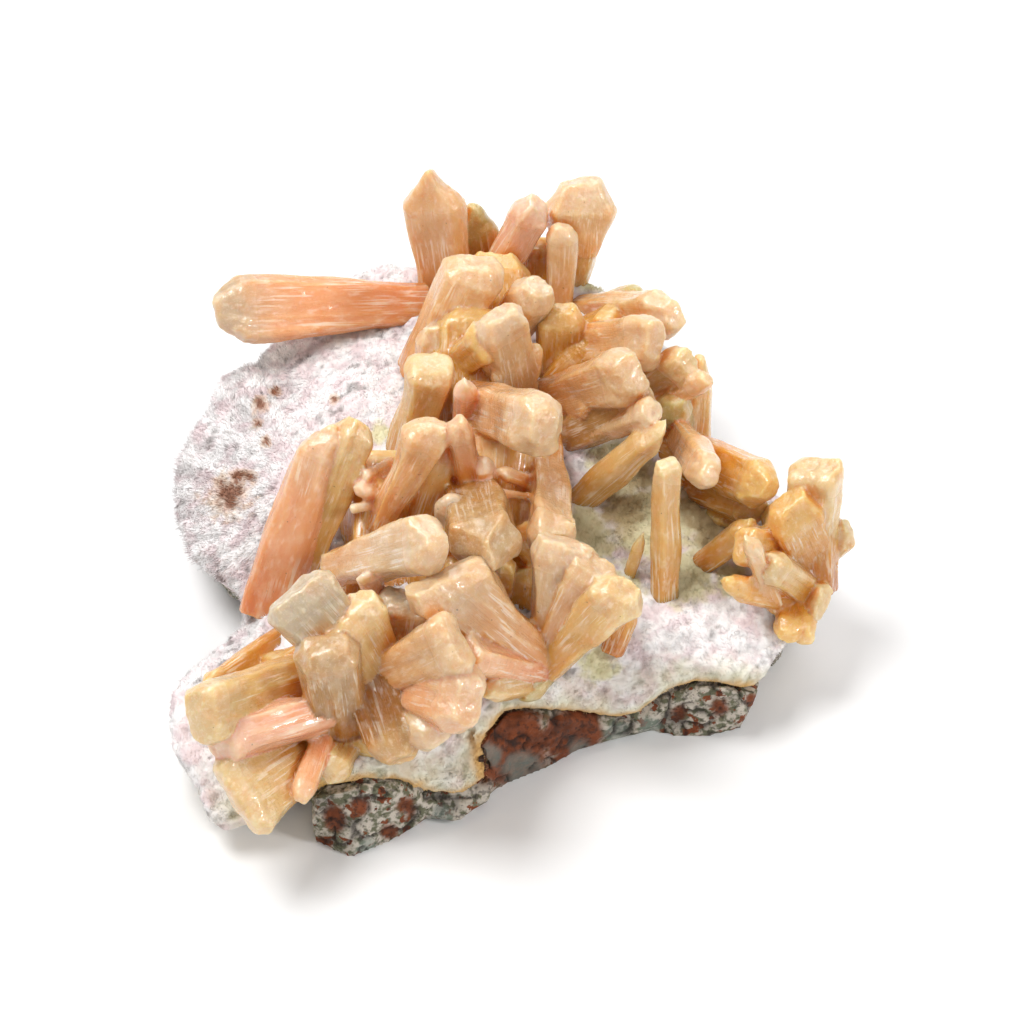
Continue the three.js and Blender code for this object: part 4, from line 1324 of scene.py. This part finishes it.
@dataclass(frozen=True)
class BasaltSlab:
    """The slab of weathered basalt: broken, cracked and pitted, flat underneath."""

    cell: float = 0.42
    lump: float = 0.42
    grit: float = 0.16
    crack_depth: float = 0.35
    flat: float = 0.12
    rusty: tuple[Patch, ...] = (
        Patch(0.0, -29.0, 7.0), Patch(7.0, -28.0, 5.0), Patch(-22.0, -38.5, 1.8),
        Patch(-19.0, -37.0, 1.5), Patch(-27.0, -38.0, 1.3), Patch(-13.0, -37.0, 1.6),
        Patch(26.0, -24.5, 1.4), Patch(21.0, -25.0, 1.2), Patch(-15.5, -40.0, 1.2),
        Patch(-23.5, -41.5, 1.2), Patch(30.0, -23.5, 1.0))
    teal: tuple[Patch, ...] = (
        Patch(1.5, -32.0, 3.0), Patch(-2.5, -30.0, 1.6), Patch(13.5, -27.6, 2.2),
        Patch(17.0, -27.0, 1.8), Patch(8.5, -30.0, 1.8), Patch(-9.0, -38.0, 1.8),
        Patch(-29.0, -42.5, 2.0), Patch(-18.0, -42.0, 1.6))
    teal_strength: float = 0.5
    sharpest: float = 50.0

    def build(self, material: bpy.types.Material) -> bpy.types.Object:
        """Makes the slab.

        Args:
            material: The finish.

        Returns:
            The slab, dressed and on the frame.
        """
        piece = merged_copy("basalt_matrix", "basalt_slab")
        reskin(piece, self.cell)
        mesh = piece.data
        points, normals = points_of(mesh) / MM, normals_of(mesh)
        cracks = 1 - smooth(0.02, 0.09, np.abs(Noise.layered(points, 3.4, 2, 40)))
        lumps = Noise.layered(points, 2.6, 3, 41)
        grit = Noise.layered(points, 0.8, 2, 42)
        out = self.lump * lumps + self.grit * grit - self.crack_depth * cracks
        under = 1 - smooth(self.flat, 1.2, points[:, 2])
        moved = points + normals * (out * (1 - under))[:, None]
        moved[:, 2] = np.where(points[:, 2] < self.flat, points[:, 2], np.maximum(moved[:, 2], 0.0))
        move_points(mesh, moved * MM)
        shown = VIEW.shown(points)
        wander = Noise.layered(points, 2.0, 2, 43)
        # Dark in the cracks, with painted shade in the hollows between the lumps.
        keep(mesh, "crack_fleck_and_hollow_shade", cracks * 0.8 + 0.5 * (1 - smooth(-0.7, -0.2, lumps)) * (1 - cracks * 0.8))
        keep(mesh, "rusty", patched(self.rusty, shown, wander))
        keep(mesh, "teal", patched(self.teal, shown, wander) * self.teal_strength)
        activate(piece)
        bpy.ops.object.shade_smooth_by_angle(angle=math.radians(self.sharpest))
        finish_piece(piece, ("basalt_matrix",), material)
        return piece


# Mordenite

@dataclass(frozen=True)
class MordeniteCrust:
    """The felted crust of mordenite, and the needles that stand on it in tufts."""

    cell: float = 0.4
    tuft: float = 0.4
    fuzz: float = 0.32
    fibre: float = 0.4
    lobe: Place = (-20.0, 2.0, 0.0)
    needle_length: tuple[float, float] = (0.22, 0.6)
    needle_radius: tuple[float, float] = (0.035, 0.065)
    sheets: int = 3
    needles: int = 44000
    olive: tuple[Patch, ...] = (
        Patch(9.0, -3.0, 5.0), Patch(12.5, -10.0, 4.4), Patch(17.0, -1.0, 6.0),
        Patch(22.0, -8.0, 4.4), Patch(24.0, 0.0, 6.0), Patch(14.0, 5.0, 5.0),
        Patch(-16.5, 10.0, 1.6), Patch(11.0, -19.0, 3.0), Patch(27.0, -8.0, 2.4),
        Patch(10.5, 29.5, 3.0), Patch(-23.0, -34.0, 3.4), Patch(-19.0, 28.0, 1.2),
        Patch(-28.6, -11.0, 1.6))
    rust: tuple[Patch, ...] = (
        Patch(-35.2, 2.2, 2.0), Patch(-34.2, 4.4, 0.9), Patch(-32.4, 4.2, 0.6),
        Patch(-31.4, 13.4, 0.8), Patch(-29.6, 15.0, 0.5), Patch(-22.2, 14.0, 0.5),
        Patch(-31.8, 11.0, 0.6), Patch(-30.8, 8.8, 0.5))
    shadow: tuple[Patch, ...] = (
        Patch(13.5, 0.0, 3.6), Patch(16.0, 4.0, 2.4), Patch(25.0, -1.0, 3.8), Patch(22.0, 3.0, 3.0),
        Patch(-29.0, -6.0, 1.8), Patch(-36.5, -12.0, 1.6))
    pit_shade_strength: float = 0.6
    groove_shade_strength: float = 0.16
    shadow_strength: float = 0.75
    olive_strength: float = 0.7
    rust_strength: float = 0.85
    rim_strength: float = 0.75
    halo_strength: float = 0.35
    halo_size: float = 1.7
    root_depth: float = 0.12
    root_shade: float = 0.12
    needle_lean: float = 1.1
    needle_stray: float = 0.35
    needle_fan: float = 1.8

    def build(self, material: bpy.types.Material) -> list[bpy.types.Object]:
        """Makes the crust and its needles.

        Args:
            material: The finish.

        Returns:
            The crust, then the sheets of needles.
        """
        crust = self._felt(material)
        roots, normals = self._roots(crust.data)
        sheets = [self._needles(i, roots[i::self.sheets], normals[i::self.sheets], material)
                  for i in range(self.sheets)]
        return [crust, *sheets]

    def _stains(self, mesh: bpy.types.Mesh, points: Array, extra_shade: Array) -> None:
        """Stores where the crust is stained and where it has painted shade, at the places given.

        Args:
            mesh: The mesh that the stains are stored on.
            points: The place of each vertex, in millimetres.
            extra_shade: How much more painted shade each vertex has.
        """
        shown = VIEW.shown(points)
        wander = Noise.layered(points, 1.6, 3, 50)
        # Painted shade: grey pits between the tufts.
        pit_shading = smooth(0.22, 0.62, -Noise.layered(points, 0.95, 2, 51)) * self.pit_shade_strength
        pit_shading = pit_shading * smooth(-0.5, 0.3, Noise.at(points, 6.0, 55))
        # Painted shade in the grooves between the fibres that fan out on the left lobe.
        groove_shade = (self._in_lobe(points) * smooth(0.1, 0.6, -self._strands(points))
                   * self.groove_shade_strength)
        away = self._from_basalt(points)
        front = smooth(4.0, 12.0, -points[:, 1]) * (1 - smooth(11.5, 14.0, points[:, 2]))
        lumps = 1.2 * Noise.layered(points, 1.2, 3, 57)
        keep(mesh, "pit_shade", np.clip(np.maximum(pit_shading, groove_shade) + extra_shade, 0, 1))
        # Painted shade, tinted tan, on the crust between the crystals at the right.
        keep(mesh, "shaded_tan", patched(self.shadow, shown, lumps) * self.shadow_strength)
        olive = np.maximum(patched(self.olive, shown, lumps) * self.olive_strength,
                           (1 - smooth(1.5, 4.5, away + wander)) * front * 0.45)
        keep(mesh, "olive", olive)
        blots = 1.6 * Noise.layered(points, 0.8, 3, 56)
        keep(mesh, "rust", patched(self.rust, shown, blots) * self.rust_strength)
        rim = (1 - smooth(0.5, 2.0, away + 0.9 * wander)) * front * self.rim_strength
        halos = tuple(replace(spot, radius=spot.radius * self.halo_size) for spot in self.rust)
        halo = patched(halos, shown, blots) * self.halo_strength
        keep(mesh, "rim", np.maximum(rim, halo))

    def _from_basalt(self, points: Array) -> Array:
        """Gives how far each point is from the basalt."""
        tree = surface_of(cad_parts["basalt_matrix"].data, MM)
        return np.array([tree.find_nearest(point)[3] for point in points.tolist()])

    def _outwards(self, points: Array) -> Array:
        """Gives the direction away from the middle of the left lobe, level with the table.

        Args:
            points: Points in millimetres, one a row.

        Returns:
            One direction a point.
        """
        away = points - np.array(self.lobe)
        away[:, 2] = 0
        return unit(away)

    def _in_lobe(self, points: Array) -> Array:
        """Gives how far a point belongs to the left lobe, whose fibres fan out."""
        return smooth(24.0, 33.0, -points[:, 0]) * smooth(-16.0, -10.0, points[:, 1])

    def _strands(self, points: Array) -> Array:
        """Gives the relief of fibres that fan out from the middle of the left lobe, -1 to 1.

        Args:
            points: Points in millimetres, one a row.

        Returns:
            One value a point.
        """
        turn = np.arctan2(points[:, 1] - self.lobe[1], points[:, 0] - self.lobe[0])
        away = np.linalg.norm(points[:, :2] - np.array(self.lobe[:2]), axis=1)
        fanned = np.stack([turn * 22.0, away * 0.12, points[:, 2] * 0.1], axis=1)
        return Noise.layered(fanned, 1.0, 3, 54)

    def _felt(self, material: bpy.types.Material) -> bpy.types.Object:
        """Makes the crust itself.

        Args:
            material: The finish.

        Returns:
            The crust, dressed and on the frame.
        """
        piece = merged_copy("mordenite_crust", "mordenite_felt")
        reskin(piece, self.cell)
        apply_modifier(piece, "SMOOTH", factor=0.5, iterations=3)
        mesh = piece.data
        points, normals = points_of(mesh) / MM, normals_of(mesh)
        lobe = self._in_lobe(points)
        out = self.tuft * Noise.layered(points, 2.4, 3, 52) + self.fuzz * Noise.at(points, 0.6, 53)
        out = out * (1 - 0.6 * lobe) + lobe * self.fibre * self._strands(points)
        under = 1 - smooth(-0.3, 0.2, normals[:, 2])
        low = 1 - smooth(0.3, 1.5, points[:, 2])
        move_points(mesh, (points + normals * (out * (1 - 0.8 * under) * (1 - low))[:, None]) * MM)
        # Painted shade where the felt is sunk between its tufts.
        self._stains(mesh, points, 0.3 * (1 - smooth(-0.35, 0.1, out)))
        finish_piece(piece, ("mordenite_crust",), material)
        return piece

    def _roots(self, mesh: bpy.types.Mesh) -> tuple[Array, Array]:
        """Scatters the needles' roots over the crust's outer side.

        Args:
            mesh: The crust.

        Returns:
            The roots in millimetres, and the crust's normal at each.
        """
        mesh.calc_loop_triangles()
        corners = read(mesh.loop_triangles, "vertices", 3, np.int32)
        points, normals = points_of(mesh) / MM, normals_of(mesh)
        a, b, c = (points[corners[:, k]] for k in range(3))
        normal = normals[corners].mean(axis=1)
        area = np.linalg.norm(np.cross(b - a, c - a), axis=1)
        weight = area * smooth(-0.5, 0.1, normal[:, 2]) * smooth(1.0, 2.5, a[:, 2])
        random = np.random.default_rng(SEED)
        chosen = random.choice(len(corners), self.needles * self.sheets, p=weight / weight.sum())
        share = random.random((len(chosen), 2))
        share = np.where(share.sum(axis=1, keepdims=True) > 1, 1 - share, share)
        roots = a[chosen] + (b - a)[chosen] * share[:, :1] + (c - a)[chosen] * share[:, 1:]
        return roots, unit(normal[chosen])

    def _needles(self, number: int, roots: Array, normals: Array,
                 material: bpy.types.Material) -> bpy.types.Object:
        """Makes one sheet of needles, each a copy of the same slim point.

        Args:
            number: The sheet's number.
            roots: The needles' roots, in millimetres.
            normals: The crust's normal at each root.
            material: The finish.

        Returns:
            The sheet, dressed and on the frame.
        """
        random = np.random.default_rng(SEED + 1 + number)
        deselect()
        bpy.ops.mesh.primitive_cone_add(vertices=3, radius1=1, depth=1, location=(0, 0, 0.5))
        bpy.ops.object.transform_apply(location=True)
        master = bpy.context.object
        shape = points_of(master.data)
        faces = np.array([tuple(p.vertices) for p in master.data.polygons])
        bpy.data.objects.remove(master)
        count = len(roots)
        lean = np.stack([Noise.at(roots, 1.5, 60 + k) for k in range(3)], axis=1)
        lobe = self._in_lobe(roots)[:, None]
        stray = random.normal(size=(count, 3))
        grow = unit(normals * (1 - 0.5 * lobe) + lean * self.needle_lean
                    + stray * self.needle_stray + self._outwards(roots) * lobe * self.needle_fan)
        side = unit(np.cross(grow, unit(random.normal(size=(count, 3)))))
        other = np.cross(grow, side)
        longer = 1 + 0.35 * Noise.at(roots, 2.2, 64) + 0.8 * lobe[:, 0]
        length = random.uniform(*self.needle_length, count) * longer
        radius = random.uniform(*self.needle_radius, count)
        points = (roots[:, None, :] - grow[:, None, :] * self.root_depth
                  + side[:, None, :] * shape[None, :, :1] * radius[:, None, None]
                  + other[:, None, :] * shape[None, :, 1:2] * radius[:, None, None]
                  + grow[:, None, :] * shape[None, :, 2:] * length[:, None, None])
        corners = faces[None] + (np.arange(count) * len(shape))[:, None, None]
        mesh = bpy.data.meshes.new(f"mordenite_needles_{number + 1}")
        mesh.vertices.add(count * len(shape))
        mesh.loops.add(corners.size)
        mesh.polygons.add(count * len(faces))
        mesh.vertices.foreach_set("co", (points * MM).ravel())
        mesh.loops.foreach_set("vertex_index", corners.ravel())
        mesh.polygons.foreach_set("loop_start", np.arange(0, corners.size, 3))
        mesh.update(calc_edges=True)
        piece = bpy.data.objects.new(mesh.name, mesh)
        bpy.context.scene.collection.objects.link(piece)
        # Painted shade at the needles' roots, fading towards their points.
        self._stains(mesh, np.repeat(roots, len(shape), axis=0),
                     np.tile(self.root_shade * (1 - shape[:, 2]), count))
        finish_piece(piece, ("mordenite_crust",), material)
        return piece


# The stage

@dataclass(frozen=True)
class Lamp:
    """A soft square light: its place and its size in metres, and its power in watts."""

    name: str
    place: Place
    size: float
    power: float


class Stage:
    """A pale floor, soft lights and the camera."""

    lamps: tuple[Lamp, ...] = (
        Lamp("key", (-0.26, 0.08, 0.6), 0.3, 3.5),
        Lamp("spark", (0.46, -0.2, 0.42), 0.12, 1.3),
        Lamp("fill", (0.1, -0.6, 0.35), 0.5, 0.7),
        Lamp("back", (0.05, 0.55, 0.42), 0.4, 1.6))
    daylight: float = 0.33
    floor_size: float = 6.0
    focal: float = VIEW.distance * VIEW.sensor / VIEW.reach

    def build(self) -> None:
        """Builds the stage."""
        deselect()
        bpy.ops.mesh.primitive_plane_add(size=self.floor_size)
        floor = bpy.context.object
        floor.name = "floor"
        material, wires = new_material("floor")
        wires.surface({
            "Base Color": (0.9, 0.9, 0.9, 1.0), "Roughness": 0.9, "Specular IOR Level": 0.1})
        floor.data.materials.append(material)
        for lamp in self.lamps:
            self._light(lamp)
        world = bpy.data.worlds.new("studio")
        bpy.context.scene.world = world
        world.use_nodes = True
        background = world.node_tree.nodes["Background"]
        background.inputs["Color"].default_value = (1.0, 1.0, 1.0, 1.0)
        background.inputs["Strength"].default_value = self.daylight
        self._camera()
        bpy.context.scene.view_settings.view_transform = "Standard"

    def _light(self, lamp: Lamp) -> None:
        """Adds a light that faces the specimen.

        Args:
            lamp: The light.
        """
        deselect()
        bpy.ops.object.light_add(type="AREA", location=lamp.place)
        light = bpy.context.object
        light.name = lamp.name
        light.data.size = lamp.size
        light.data.energy = lamp.power
        target = Vector(VIEW.centre) * MM
        light.rotation_euler = (target - light.location).to_track_quat("-Z", "Y").to_euler()

    def _camera(self) -> None:
        """Adds the camera."""
        deselect()
        bpy.ops.object.camera_add(location=[float(x) * MM for x in VIEW.eye],
                                  rotation=(math.radians(90 - VIEW.elevation), 0, 0))
        camera = bpy.context.object
        camera.data.sensor_width = VIEW.sensor
        camera.data.lens = self.focal
        camera.data.clip_start = 0.01
        bpy.context.scene.camera = camera


def main() -> None:
    """Builds the specimen and its stage."""
    logging.basicConfig(level=logging.INFO, format="%(message)s")
    mottle = Mottle()
    blanks = Blanks()
    stilbite_material = StilbiteFinish().build(mottle)
    for group in stilbite():
        group.build(blanks, stilbite_material)
    blanks.clear()
    BasaltSlab().build(BasaltFinish().build(mottle))
    MordeniteCrust().build(MordeniteFinish().build(mottle))
    Stage().build()


if __name__ == "__main__":
    main()
